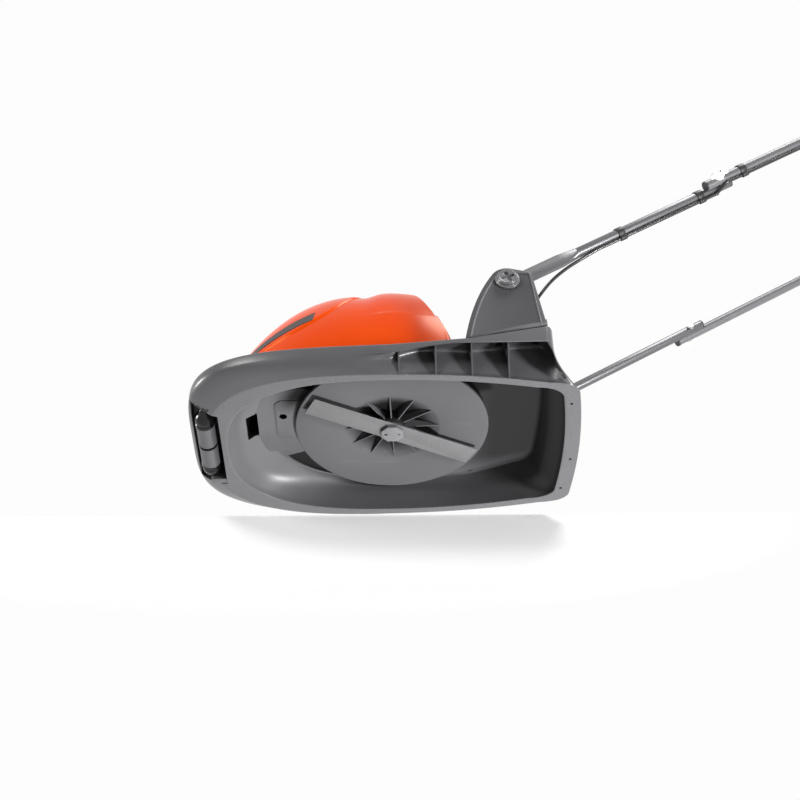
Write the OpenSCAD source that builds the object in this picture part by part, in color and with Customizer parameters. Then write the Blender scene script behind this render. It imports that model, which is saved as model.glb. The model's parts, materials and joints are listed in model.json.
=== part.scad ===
// Electric hover mower: grey moulded deck, orange hood, vaned fan, bar blade and folding handle.
// Front is -Y, the handle leans to +Y, and the mower stands on its rim at Z = 0.

/* [Deck] */
// Width over the ground rim at the spindle
rim_w = 368; // [350:1:390]
// Spindle axis to the front of the ground rim
rim_front = 300; // [296:1:310]
// Spindle axis to the back of the ground rim
rim_rear = 308; // [300:1:320]
// Width of the flat ground rim at the sides
rim_side = 14; // [10:1:16]
// Width of the flat ground rim at the nose
rim_nose = 30; // [26:1:32]
// Width of the flat ground rim at the tail
rim_tail = 26; // [20:1:30]
// Overhang of the bumper past the rim at the sides
bumper_side = 11; // [8:1:14]
// Overhang of the bumper past the rim at the nose
bumper_nose = 31; // [26:1:36]
// Height of the chamber roof above the ground
roof_z = 57; // [55:1:59]
// Height of the flat that the hood stands on
seat_z = 66; // [64:1:70]
// Height of the deck's lip at the back of the brackets
tail_z = 89; // [84:1:96]
// Radius of the air inlet in the deck
inlet_r = 80; // [72:1:82]

/* [Hood] */
// Step from the side of the rim in to the foot of the hood
hood_in = 38; // [34:1:44]
// Spindle axis to the front of the hood
hood_front = 280; // [264:1:284]
// Spindle axis to the back of the hood
hood_rear = 113; // [108:1:120]
// Height of the hood over its seat
hood_h = 244; // [225:1:255]
// Wall of the hood
hood_wall = 2.6; // [2:0.1:3.2]

/* [Cutter] */
// Gap between the fan disc and the side of the chamber at the ground
fan_gap = 10; // [9:0.5:16]
// Step from the fan's edge in to the tip of the blade
blade_in = 10; // [7:1:20]
// Width of the blade
blade_w = 39; // [34:1:42]
// Thickness of the blade
blade_t = 3; // [2:0.5:3.5]
// Height of the blade's underside above the ground
blade_z = 34; // [32:1:34]
// Turn of the blade at rest
blade_turn = 27.7; // [0:0.1:90]
// Radius of the fan's vaned dish
dish_r = 78; // [68:1:80]
// Number of vanes in the dish
dish_vanes = 12; // [8:1:14]
// Radius of the motor shaft
shaft_r = 6; // [5:0.5:7]
// Outer radius of the motor can
can_r = 46; // [42:1:50]
// Height of the motor can
can_h = 104; // [98:1:116]

/* [Roller] */
// Radius of the roller sleeves
roller_r = 14.5; // [12:0.5:15]
// Length of one roller sleeve
sleeve_len = 49; // [44:1:52]
// Width of the roller pocket
pocket_w = 152; // [148:1:158]
// Radius of the roller axle
axle_r = 3; // [2.5:0.5:4]

/* [Handle] */
// Spindle axis to the handle pivots
pivot_y = 192; // [188:1:198]
// Height of the handle pivots
pivot_z = 190; // [180:1:198]
// Angle of the handle above the ground
rake = 31; // [24:1:36]
// Outer radius of the handle tubes
tube_r = 8.5; // [8:0.5:9]
// Wall of the handle tubes
tube_wall = 1.2; // [1:0.1:1.6]
// Pivot to the joint of lower and upper handle
fold_len = 436; // [400:2:460]
// Pivot to the cross tube of the upper handle
grip_len = 1030; // [980:5:1060]
// Bend radius of the upper handle
bend_r = 55; // [45:1:65]
// Radius of the pivot knobs
knob_r = 20; // [18:0.5:22]
// Radius of the switch lead
lead_r = 2.8; // [2.4:0.1:3.2]

/* [Hidden] */
$fn = 64;

// Overrun of every cut
over = 1;
// Clearances: running fits, seated pieces and side faces that pass each other
run_gap = 0.05;
seat_gap = 0.1;
side_gap = 0.4;

// Samples of half an outline: nose, side, corner and tail
n_nose = 20;
n_side = 9;
n_corner = 6;
n_tail = 5;
n_half = n_nose + n_side + n_corner + n_tail;

// Outline shares: the length at which the side ends, then the width and length at which the corner ends
side_shares = [0.815, 0.7, 0.974];
lip_shares = [0.94, 0.9, 0.985];
rim_tail_share = 0.86;
hood_tail_share = 0.93;
// Powers of the rounded noses
bumper_power = 4;
rim_power = 3;
hood_nose_power = 2.2;
chamber_powers = [2.6, 2.6, 2.5, 2.35, 2.2];

// Deck heights and walls
lip_top_nose = 44;
lip_top_mid = 55;
lip_low_nose = 30;
lip_low_mid = 42;
lip_low_rear = 56;
lip_low_run = 114;
lip_round = 3;
lip_wall = 3;
plate_t = 4;
roof_wall = 5;
under_from = -45;
under_run = 110;
lip_rear = 262;
// Chamber wall: heights of its rings, and how far each stands in at the side, the nose and the tail
chamber_zs = [0, 10, 36, 50];
chamber_sides = [0, 2, 4, 5, 10];
chamber_noses = [0, 4, 10, 16, 26];
chamber_tails = [0, 4, 20, 26, 32];
seat_margin = 4;
lip_inner = 24;
lip_inner_nose = 30;
bumper_z_shares = [0.85, 0.62, 0.36, 0.14];
bumper_in_shares = [0.04, 0.18, 0.45, 0.78];
wall_shares = [0.93, 0.955];
wall_foot_z = 10;
lip_gap = 0.5;
foot_front = 124;
foot_rear = 250;
seat_slope = (tail_z - seat_z) / (foot_rear - foot_front);
seat_tilt = atan(seat_slope);
tail_rise = 2;
rib_t = 2.5;
rib_foot_z = 2;
rib_in = 10;
rib_places = [13, 71, 128, 186, 238];
slot_w = 55;
slot_d = 18;
slot_y = -232;
boss_r = 15;
boss_h = 3;
boss_hole_r = 6.5;
boss_x = 21;
boss_y = -180;
rim_hole_r = 2.6;
rim_hole_depth = 12;
rim_holes = [[105, 287], [-38.5, 294.8], [-118, 284]];

// Screws shared by several pieces
screw_r = 2;
screw_head_r = 4.4;
screw_head_h = 3;
screw_bite = 8;

// Roller pocket
pocket_front = 322;
pocket_rear = 279;
pocket_top = 42;
roller_y = -304;
roller_z = 18;
axle_seat = 8;
sleeve_gap = 1.2;
cap_r = 13;
cap_bead = 3;

// Derived deck sizes
rim_x = rim_w / 2;
lip_x = rim_x + bumper_side;
nose_y = rim_front + bumper_nose;
hood_x = rim_x - hood_in;
fan_r = rim_x - rim_side - fan_gap;
blade_len = 2 * (fan_r - blade_in);

function mix(a, b, t) = a + (b - a) * t;
function ease(t) = let (c = min(1, max(0, t))) c * c * (3 - 2 * c);
function flip_x(p) = [-p.x, p.y, p.z];

// One point of half an outline, from the nose over +X to the tail
function edge_xy(i, w, front, rear, tail_share, power, shares = side_shares) =
  let (side_y = rear * shares[0], corner_y = rear * shares[2])
  i <= n_nose
    ? let (a = 90 * i / n_nose) [w * pow(sin(a), 2 / power), -front * pow(cos(a), 2 / power)]
  : i <= n_nose + n_side
    ? let (t = (i - n_nose) / n_side) [w * (1 - (1 - tail_share) * t * t), side_y * t]
  : i <= n_nose + n_side + n_corner
    ? let (a = 90 * (i - n_nose - n_side) / n_corner)
      [w * mix(shares[1], tail_share, cos(a)), mix(side_y, corner_y, sin(a))]
  : let (t = (i - n_half + n_tail) / n_tail)
    [w * shares[1] * (1 - t), mix(corner_y, rear, 1 - (1 - t) * (1 - t))];

// A full ring from half of its points, and the triangles between two rings
function ring(half) = concat(half, [for (i = [n_half - 1 : -1 : 1]) flip_x(half[i])]);
n_ring = 2 * n_half;
function band(j, k) = [
  for (i = [0 : n_ring - 1])
    let (
      a = j * n_ring + i,
      b = j * n_ring + (i + 1) % n_ring,
      c = k * n_ring + (i + 1) % n_ring,
      d = k * n_ring + i
    )
    each [[a, b, c], [a, c, d]]
];
function other_side(i) = (n_ring - i) % n_ring;

// Heights along the deck
function top_z(y) = y < foot_front ? seat_z : min(seat_z + (y - foot_front) * seat_slope, tail_z + tail_rise);
function lip_top(y) =
  y < 0 ? mix(lip_top_mid, lip_top_nose, -y / nose_y)
  : y < foot_front ? mix(lip_top_mid, seat_z, y / foot_front)
  : top_z(y);
function lip_low(y) =
  y < 0 ? mix(lip_low_mid, lip_low_nose, -y / nose_y) : mix(lip_low_mid, lip_low_rear, ease(y / lip_low_run));
function roof(y) = max(roof_z, top_z(y) - roof_wall);
function rim_half(y) = rim_x * (1 - (1 - rim_tail_share) * pow(y / (rim_rear * side_shares[0]), 2));

// How far the side is cut under the lip: none at the nose and the tail, all of it under the brackets
function under(i) =
  i <= n_nose + n_side ? ease((rim_xy(i, 1).y - under_from) / under_run)
  : 1 - ease(2 * (i - n_nose - n_side) / n_corner);

// Rings of the deck
function circle_ring(r, z) = [
  for (i = [0 : n_half]) let (p = edge_xy(i, r, r, r, 1, 2), l = norm(p)) [r * p.x / l, r * p.y / l, z]
];
function lip_xy(i, inset) =
  edge_xy(i, lip_x - inset, nose_y - inset, lip_rear - inset / 2, 1, bumper_power, lip_shares);
function rim_xy(i, k) =
  edge_xy(i, rim_x * k, rim_front * k, rim_rear * (1 + k) / 2, rim_tail_share, rim_power);
function hood_xy(i, inset) =
  edge_xy(i, hood_x - inset, hood_front - inset, hood_rear - inset, hood_tail_share, hood_nose_power);
function seat_ring() = [for (i = [0 : n_half]) let (p = hood_xy(i, -seat_margin)) [p.x, p.y, seat_z]];
function lip_inner_ring() = [
  for (i = [0 : n_half])
    let (p = edge_xy(i, lip_x - lip_inner, nose_y - lip_inner_nose, lip_rear - 2 * lip_round, 1, bumper_power,
                     lip_shares))
    [p.x, p.y, top_z(p.y)]
];
function lip_ring(inset, drop) = [
  for (i = [0 : n_half]) let (p = lip_xy(i, inset)) [p.x, p.y, lip_top(p.y) - drop]
];
function lip_low_ring() = [for (i = [0 : n_half]) let (p = lip_xy(i, 0)) [p.x, p.y, lip_low(p.y)]];
function bulge_ring(k) = [
  for (i = [0 : n_half])
    let (
      p = lip_xy(i, 0), q = rim_xy(i, 1), xy = mix(p, q, bumper_in_shares[k]),
      l = lip_xy(i, k == 0 ? lip_wall : lip_wall + lip_gap),
      s = rim_xy(i, wall_shares[max(0, k - 2)]),
      c = k == 0 ? [l.x, l.y, lip_low(l.y)]
        : k == 1 ? [l.x, l.y, top_z(l.y) - plate_t]
        : k == 2 ? [s.x, s.y, top_z(s.y) - plate_t]
        : [s.x, s.y, wall_foot_z]
    )
    mix([xy.x, xy.y, lip_low(xy.y) * bumper_z_shares[k]], c, under(i))
];
function rim_ring() = [for (i = [0 : n_half]) let (p = rim_xy(i, 1)) [p.x, p.y, 0]];
n_chamber = len(chamber_sides);
function chamber_ring(k) = [
  for (i = [0 : n_half])
    let (
      p = edge_xy(i, rim_x - rim_side - chamber_sides[k], rim_front - rim_nose - chamber_noses[k],
                  rim_rear - rim_tail - chamber_tails[k], rim_tail_share, chamber_powers[k])
    )
    [p.x, p.y, k < n_chamber - 1 ? chamber_zs[k] : roof(p.y)]
];
function roof_ring() =
  [for (i = [0 : n_half]) let (p = hood_xy(i, rim_nose + seat_margin)) [p.x, p.y, roof_z]];
deck_rings = concat(
  [circle_ring(inlet_r, seat_z), seat_ring(), lip_inner_ring()],
  [lip_ring(lip_round, 0), lip_ring(0, lip_round)],
  [lip_low_ring()],
  [for (k = [0 : len(bumper_z_shares) - 1]) bulge_ring(k)],
  [rim_ring()],
  [for (k = [0 : n_chamber - 1]) chamber_ring(k)],
  [roof_ring(), circle_ring(inlet_r, roof_z)]
);
n_deck = len(deck_rings);

// Where the hood's and the bracket's screws stand
hood_foot = 14;
hood_foot_t = 3;
n_screw_at = [8, n_nose + 6];
function hood_screw_xy(k) = hood_xy(n_screw_at[k], hood_foot / 2);
bracket_screw_ys = [165, 228];

// Origin: middle of the object's box, at ground level
grip_y = pivot_y + grip_len * cos(rake);
box_r = 24;
hub_y = (nose_y - grip_y - box_r) / 2;

module at_hub() {
  translate([0, hub_y, 0]) children();
}

module at_both_sides() {
  children();
  mirror([1, 0, 0]) children();
}

module on_seat(x, y) {
  translate([x, y, top_z(y)]) rotate([seat_tilt, 0, 0]) children();
}

// A cylinder along X, centred, and one along Y from its start
module bar_x(r, len) {
  rotate([0, 90, 0]) cylinder(r = r, h = len, center = true);
}

module bar_y(r, len) {
  rotate([-90, 0, 0]) cylinder(r = r, h = len);
}

module slab(x, y, z) {
  translate([-x / 2, -y / 2, 0]) cube([x, y, z]);
}

module deck_rib(y) {
  x = rim_half(y);
  translate([0, y + rib_t / 2, 0]) rotate([90, 0, 0]) linear_extrude(rib_t)
    polygon([
      [x - rib_in, rib_foot_z], [x - lip_wall, rib_foot_z], [lip_x - lip_wall, lip_low(y)],
      [lip_x - lip_wall, lip_top(y) - lip_wall], [x - rib_in, top_z(y) - lip_wall]
    ]);
}

module deck() {
  color("dimgray") at_hub() difference() {
    union() {
      polyhedron(
        points = [for (r = deck_rings) each ring(r)],
        faces = [for (j = [0 : n_deck - 1]) each band(j, (j + 1) % n_deck)]
      );
      at_both_sides() for (y = rib_places) deck_rib(y);
      translate([boss_x, boss_y, roof_z - boss_h]) cylinder(r = boss_r, h = boss_h + over);
    }
    translate([0, -(pocket_front + pocket_rear) / 2, -over])
      slab(pocket_w, pocket_front - pocket_rear, pocket_top + over);
    translate([0, roller_y, roller_z]) bar_x(axle_r + seat_gap, pocket_w + 2 * axle_seat);
    translate([0, slot_y, roof_z - over]) slab(slot_w, slot_d, seat_z - roof_z + 2 * over);
    translate([boss_x, boss_y, roof_z - boss_h - over])
      cylinder(r = boss_hole_r, h = seat_z - roof_z + boss_h + 2 * over);
    for (p = rim_holes) translate([p.x, p.y, -over]) cylinder(r = rim_hole_r, h = rim_hole_depth + over);
    at_both_sides() for (k = [0, 1]) translate(hood_screw_xy(k)) {
      translate([0, 0, roof_z - boss_h]) cylinder(r = screw_head_r + seat_gap, h = boss_h + screw_head_h);
      translate([0, 0, roof_z - over]) cylinder(r = screw_r + seat_gap, h = seat_z - roof_z + 2 * over);
    }
    at_both_sides() bracket_prism(foot_line(seat_z), lip_x - bracket_foot_w - seat_gap, lip_x + over);
    at_both_sides() for (y = bracket_screw_ys) on_seat(bracket_screw_x, y)
      translate([0, 0, -2 * plate_t]) cylinder(r = screw_r + seat_gap, h = 3 * plate_t);
    for (a = plate_screw_turns) rotate([0, 0, a]) translate([plate_screw_r, 0, roof_z - over])
      cylinder(r = screw_r + seat_gap, h = seat_z - roof_z + 2 * over);
  }
}

// Hood: levels from the foot to the crown in three zones,
// parted by a ledge and by the edge of a raised front band
crown_front = -81;
crown_rear = 26;
crown_drop = 19;
crown_turn = 79;
notch_y = -40;
notch_run = 18;
notch_drop = 7;
hood_powers = [1.4, 2.33, 2];
band_turns = [3, 25, 30];
band_power = 10;
band_end_share = 0.906;
band_start_share = 0.2;
band_h = 5;
band_end = -62;
band_fade = 22;
ledge_turn_top = 25;
ledge_turn_share = 0.55;
ledge_in = 6;
ledge_from = -40;
ledge_run = 70;
step_turn = 1.5;
facet_y = 47;
facet_z = 258;
facet_slope = 2.58;
zone_shares = [[0, 0.4, 0.8, 1], [0, 0.35, 0.7, 1], [0, 0.12, 0.24, 0.38, 0.54, 0.76, 1]];
zone_in_shares = [[0.5, 1], [0, 1], [0, 0.24, 0.54, 1]];
function hood_power(i) =
  i <= n_nose
    ? mix(hood_powers[0], hood_powers[1], ease(i / n_nose))
    : mix(hood_powers[1], hood_powers[2], (i - n_nose) / (n_half - n_nose));
function band_turn(i) =
  let (t = min(1, i / n_nose / band_end_share))
  band_turns[0] + band_turns[1] * t + band_turns[2] * pow(t, band_power);
function ledge_turn(i) = min(ledge_turn_top, ledge_turn_share * band_turn(i));
function zone_turn(i, zone, share) =
  zone == 0 ? ledge_turn(i) * share
  : zone == 1 ? mix(ledge_turn(i) + step_turn, band_turn(i), share)
  : mix(band_turn(i) + step_turn, crown_turn, share);
function crown_h(y) =
  hood_h - crown_drop * (1 - ease((y - crown_front) / (crown_rear - crown_front)))
  - notch_drop * exp(-pow((y - notch_y) / notch_run, 2));
function hood_raise(i, y, zone) =
  (zone == 2 ? band_h * (1 - ease((y - band_end) / band_fade)) * ease(i / n_nose / band_start_share) : 0)
  - (zone > 0 ? ledge_in * ease((y - ledge_from) / ledge_run) : 0);
function hood_at(i, turn, zone, inset) =
  let (
    b = hood_xy(i, inset), y = min(max(b.y, crown_front), crown_rear), up = hood_raise(i, b.y, zone),
    c = pow(cos(turn), 2 / hood_power(i)), v = pow(sin(turn), 2 / hood_power(i)),
    out = unit([b.x, b.y - y]) * up * cos(turn), z = seat_z + (crown_h(y) - inset) * v + up * sin(turn)
  )
  [b.x * c + out.x, min(mix(y, b.y, c) + out.y, facet_y + (facet_z - z) / facet_slope - inset), z];
function hood_ring(zone, share, inset) =
  [for (i = [0 : n_half]) hood_at(i, zone_turn(i, zone, share), zone, inset)];
function hood_foot_ring(inset, z) = [for (i = [0 : n_half]) let (p = hood_xy(i, inset)) [p.x, p.y, z]];
hood_rings = concat(
  [
    for (zone = [2 : -1 : 0], k = [len(zone_shares[zone]) - 1 : -1 : 0])
      hood_ring(zone, zone_shares[zone][k], 0)
  ],
  [
    hood_foot_ring(hood_foot, seat_z),
    hood_foot_ring(hood_foot, seat_z + hood_foot_t),
    hood_foot_ring(hood_wall, seat_z + hood_foot_t)
  ],
  [for (zone = [0 : 2], share = zone_in_shares[zone]) hood_ring(zone, share, hood_wall)]
);
n_hood = len(hood_rings);
// The crown closes on a ridge along the middle line, under which the outline's ends gather
ridge_from = len([for (i = [0 : n_half]) if (hood_xy(i, 0).y < crown_front) i]) - 1;
ridge_to = len([for (i = [0 : n_half]) if (hood_xy(i, 0).y < crown_rear) i]);
n_ridge = ridge_to - ridge_from + 1;
function ridge(inset) = [for (i = [ridge_from : ridge_to]) hood_at(i, 90, 2, inset)];
function ridge_cap(j, first, up) = [
  for (i = [0 : n_half - 1])
    let (
      a = j * n_ring + i, b = a + 1, c = j * n_ring + other_side(i + 1), d = j * n_ring + other_side(i),
      m = first + min(max(i, ridge_from), ridge_to) - ridge_from,
      n = first + min(max(i + 1, ridge_from), ridge_to) - ridge_from
    )
    each [
      up ? [a, n, b] : [a, b, n],
      up ? [c, m, d] : [c, d, m],
      if (n > m) up ? [a, m, n] : [a, n, m],
      if (n > m) up ? [c, n, m] : [c, m, n]
    ]
];
n_vent = 8;
vent_shares = [0.26, 0.72];
vent_turns = [[14.5, 17.5], [28.4, 33.8]];
vent_gap_turn = 0.25;
vent_proud = 0.8;
gland_x = 70;
gland_z = 140;
gland_y = 106;
gland_r = 7;

module hood_shell() {
  polyhedron(
    points = concat([for (r = hood_rings) each ring(r)], ridge(0), ridge(hood_wall)),
    faces = concat(
      ridge_cap(0, n_hood * n_ring, true), [for (j = [0 : n_hood - 2]) each band(j, j + 1)],
      ridge_cap(n_hood - 1, n_hood * n_ring + n_ridge, false)
    )
  );
}

// A strip on the hood's surface that both the vent and its opening in the hood are cut with
module vent_strip(gap_turn, proud, inset) {
  points = [
    for (k = [0 : n_vent])
      let (
        i = n_nose * mix(vent_shares[0], vent_shares[1], k / n_vent),
        low = mix(vent_turns[0][0], vent_turns[1][0], k / n_vent) - gap_turn,
        high = mix(vent_turns[0][1], vent_turns[1][1], k / n_vent) + gap_turn
      )
      each [
        hood_at(i, low, 2, -proud), hood_at(i, high, 2, -proud),
        hood_at(i, high, 2, inset), hood_at(i, low, 2, inset)
      ]
  ];
  polyhedron(
    points = points,
    faces = concat(
      [[3, 2, 1, 0], [for (m = [0 : 3]) 4 * n_vent + m]],
      [
        for (k = [0 : n_vent - 1], m = [0 : 3])
          let (a = 4 * k + m, b = 4 * k + (m + 1) % 4)
          each [[a, b, b + 4], [a, b + 4, a + 4]]
      ]
    )
  );
}

module hood() {
  color("orangered") at_hub() difference() {
    hood_shell();
    at_both_sides() vent_strip(vent_gap_turn, 2 * over, hood_wall + 2 * over);
    at_both_sides() for (k = [0, 1]) translate(hood_screw_xy(k)) translate([0, 0, seat_z - over])
      cylinder(r = screw_r + seat_gap, h = hood_foot_t + 2 * over);
    translate([gland_x, gland_y - gland_len, gland_z]) bar_y(gland_r + seat_gap, 2 * gland_len);
  }
}

module vent_left() {
  color("darkslategray") at_hub() vent_strip(0, vent_proud, hood_wall);
}

module vent_right() {
  color("darkslategray") at_hub() mirror([1, 0, 0]) vent_strip(0, vent_proud, hood_wall);
}

module hood_screws() {
  color("silver") at_hub() at_both_sides() for (k = [0, 1]) translate(hood_screw_xy(k)) {
    translate([0, 0, roof_z]) cylinder(r = screw_head_r, h = screw_head_h);
    translate([0, 0, roof_z]) cylinder(r = screw_r, h = seat_z - roof_z + hood_foot_t);
  }
}

// Brackets: a moulded plate with a raised edge, a foot on the deck and a stop under the tube
bracket_t = 10;
bracket_head_r = 28;
bracket_foot_t = 5;
bracket_foot_w = 25;
foot_seat = 0.8;
bracket_edge = 9;
bracket_sink = 3;
bracket_bow_shares = [0.16, 0.68];
bracket_shoulder = [22, 10];
bracket_shoulder_r = 10;
head_turns = [150, 75];
shoulder_turns = [75, 8];
head_steps = 8;
shoulder_steps = 5;
bow_steps = 10;
bracket_screw_in = 14;
bracket_screw_x = lip_x - bracket_screw_in;
stop_r = 4;
stop_at = 26;
stop_len = 6;
function bezier(a, b, c, n) = [for (k = [0 : n]) let (t = k / n) mix(mix(a, b, t), mix(b, c, t), t)];
function arc(c, r, from, to, n) = [for (k = [0 : n]) let (a = mix(from, to, k / n)) c + r * [cos(a), sin(a)]];
function bracket_line(inset) =
  let (
    foot_a = [foot_front + inset, top_z(foot_front) - foot_seat + inset],
    foot_b = [foot_rear - inset, top_z(foot_rear) - foot_seat + inset],
    head = arc([pivot_y, pivot_z], bracket_head_r - inset, head_turns[0], head_turns[1], head_steps),
    bow = [
      mix(foot_front, foot_rear, bracket_bow_shares[0]) + inset,
      mix(seat_z, pivot_z, bracket_bow_shares[1])
    ],
    shoulder = [foot_rear - bracket_shoulder.x - bracket_shoulder_r / 2, pivot_z + bracket_shoulder.y]
  )
  concat(
    bezier(foot_a, bow, head[0], bow_steps), head,
    arc(shoulder, bracket_shoulder_r - inset / 2, shoulder_turns[0], shoulder_turns[1], shoulder_steps),
    [foot_b]
  );

module bracket_prism(line, from_x, to_x) {
  translate([from_x, 0, 0]) rotate([90, 0, 90]) linear_extrude(to_x - from_x) polygon(line);
}

// The foot's slice, let into the deck by its seat and dz high over it
function foot_line(dz) = [
  [foot_front, top_z(foot_front) - foot_seat], [foot_rear, top_z(foot_rear) - foot_seat],
  [foot_rear, top_z(foot_rear) + dz], [foot_front, top_z(foot_front) + dz]
];

module bracket() {
  inner_x = lip_x - bracket_t;
  difference() {
    union() {
      bracket_prism(bracket_line(0), inner_x, lip_x);
      bracket_prism(foot_line(bracket_foot_t / cos(seat_tilt)), lip_x - bracket_foot_w, lip_x);
      translate([inner_x, pivot_y, pivot_z]) rotate([rake, 0, 0])
        translate([-stop_len / 2 + over / 2, stop_at, -flat_h / 2 - stop_r - side_gap])
          bar_x(stop_r, stop_len + over);
    }
    difference() {
      bracket_prism(bracket_line(bracket_edge), lip_x - bracket_sink, lip_x + over);
      translate([lip_x, pivot_y, pivot_z]) bar_x(knob_r + bracket_sink, bracket_t);
    }
    translate([inner_x, pivot_y, pivot_z]) bar_x(pivot_r + run_gap, 4 * bracket_t);
    for (y = bracket_screw_ys) on_seat(bracket_screw_x, y) translate([0, 0, -over])
      cylinder(r = screw_r + seat_gap, h = screw_bite + over);
  }
}

module bracket_left() {
  color("slategray") at_hub() bracket();
}

module bracket_right() {
  color("slategray") at_hub() mirror([1, 0, 0]) bracket();
}

module bracket_screws() {
  under_z = -plate_t * cos(seat_tilt);
  color("silver") at_hub() at_both_sides() for (y = bracket_screw_ys) on_seat(bracket_screw_x, y) {
    translate([0, 0, under_z - screw_head_h]) cylinder(r = screw_head_r, h = screw_head_h);
    translate([0, 0, under_z - screw_head_h])
      cylinder(r = screw_r, h = screw_head_h - under_z + screw_bite - over);
  }
}

// Motor: spider plate, can, cap, stator, brushes and bearings
plate_ring_r = 98;
plate_ring_w = 14;
plate_h = 12;
plate_ring_h = 5;
plate_hub_r = 26;
plate_spokes = 4;
plate_spoke_w = 16;
plate_screw_r = 91;
plate_screw_turns = [45, 135, 225, 315];
bearing_low_r = 16;
bearing_up_r = 13;
bearing_h = 9;
can_wall = 2.5;
can_z = seat_z + plate_h;
cap_t = 4;
cap_boss_r = 18;
stator_z = can_z + 14;
stator_h = 48;
stator_r = 31;
core_gap = 0.8;
comm_r = 14;
comm_h = 16;
comm_z = stator_z + stator_h + 8;
brush_w = 9;
brush_h = 10;

module motor_plate() {
  color("dimgray") at_hub() translate([0, 0, seat_z]) difference() {
    union() {
      difference() {
        cylinder(r = plate_ring_r, h = plate_ring_h);
        translate([0, 0, -over]) cylinder(r = plate_ring_r - plate_ring_w, h = plate_ring_h + 2 * over);
      }
      cylinder(r = plate_hub_r, h = plate_h);
      for (k = [0 : plate_spokes - 1]) rotate([0, 0, k * 360 / plate_spokes]) {
        translate([can_r / 2, 0, 0]) slab(can_r, plate_spoke_w, plate_h);
        translate([plate_ring_r / 2 - plate_ring_w / 4, 0, 0])
          slab(plate_ring_r - plate_ring_w / 2, plate_spoke_w, plate_ring_h);
      }
    }
    translate([0, 0, -over]) cylinder(r = shaft_r + side_gap, h = plate_h + 2 * over);
    translate([0, 0, plate_h - bearing_h]) cylinder(r = bearing_low_r + run_gap, h = bearing_h + over);
    for (a = plate_screw_turns) rotate([0, 0, a]) translate([plate_screw_r, 0, -over])
      cylinder(r = screw_r + seat_gap, h = plate_ring_h + 2 * over);
  }
}

module plate_screws() {
  color("silver") at_hub() for (a = plate_screw_turns)
    rotate([0, 0, a]) translate([plate_screw_r, 0, roof_z]) {
    translate([0, 0, over]) cylinder(r = screw_r, h = seat_z + plate_ring_h - roof_z - over);
    translate([0, 0, seat_z + plate_ring_h - roof_z]) cylinder(r = screw_head_r, h = screw_head_h);
  }
}

module motor_can() {
  color("silver") at_hub() translate([0, 0, can_z]) difference() {
    cylinder(r = can_r, h = can_h);
    translate([0, 0, -over]) cylinder(r = can_r - can_wall, h = can_h + 2 * over);
  }
}

module motor_cap() {
  color("dimgray") at_hub() translate([0, 0, can_z + can_h]) difference() {
    union() {
      cylinder(r = can_r, h = cap_t);
      translate([0, 0, cap_t - bearing_h]) cylinder(r = cap_boss_r, h = bearing_h + cap_t);
    }
    translate([0, 0, cap_t - bearing_h - over]) cylinder(r = bearing_up_r + run_gap, h = bearing_h + over);
  }
}

module stator() {
  color("peru") at_hub() translate([0, 0, stator_z]) difference() {
    cylinder(r = can_r - can_wall - seat_gap, h = stator_h);
    translate([0, 0, -over]) cylinder(r = stator_r, h = stator_h + 2 * over);
  }
}

module brush_holders() {
  reach = can_r - can_wall - seat_gap;
  color("saddlebrown") at_hub() at_both_sides()
    translate([0, 0, comm_z + (comm_h - brush_h) / 2]) difference() {
    intersection() {
      cylinder(r = reach, h = brush_h);
      translate([reach / 2, 0, 0]) slab(reach, brush_w, brush_h);
    }
    translate([0, 0, -over]) cylinder(r = comm_r + side_gap, h = brush_h + 2 * over);
  }
}

module bearing(r, z) {
  translate([0, 0, z]) difference() {
    cylinder(r = r, h = bearing_h);
    translate([0, 0, -over]) cylinder(r = shaft_r + run_gap, h = bearing_h + 2 * over);
  }
}

module bearing_lower() {
  color("gainsboro") at_hub() bearing(bearing_low_r, seat_z + plate_h - bearing_h);
}

module bearing_upper() {
  color("gainsboro") at_hub() bearing(bearing_up_r, can_z + can_h + cap_t - bearing_h);
}

// Rotor: shaft, armature, commutator, fan, blade and their bolt
spacer_h = 6;
disc_z = blade_z + blade_t + spacer_h;
disc_t = 3;
dish_h = 17;
hub_r = 22;
hub_h = 22;
fan_lip = 3;
vane_t = 2;
vane_in = 1;
vane_turn = 2;
blower_in = 7;
blower_out = 10;
blower_h = 8;
bolt_flat = 36;
bolt_h = 6;
bolt_r = 4;
bolt_bite = 30;
shaft_low = disc_z;
peg_rs = [3, 1.5];
peg_at = 11;
blade_edge_t = 1;
blade_bevel = 5;

module motor_shaft() {
  color("lightgray") at_hub() translate([0, 0, shaft_low]) difference() {
    cylinder(r = shaft_r, h = can_z + can_h + cap_t - shaft_low - seat_gap);
    translate([0, 0, -over]) cylinder(r = bolt_r + run_gap, h = bolt_bite + over);
  }
}

module armature() {
  color("darkgoldenrod") at_hub() translate([0, 0, stator_z]) difference() {
    cylinder(r = stator_r - core_gap, h = stator_h);
    translate([0, 0, -over]) cylinder(r = shaft_r + run_gap, h = stator_h + 2 * over);
  }
}

module commutator() {
  color("goldenrod") at_hub() translate([0, 0, comm_z]) difference() {
    cylinder(r = comm_r, h = comm_h);
    translate([0, 0, -over]) cylinder(r = shaft_r + run_gap, h = comm_h + 2 * over);
  }
}

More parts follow.
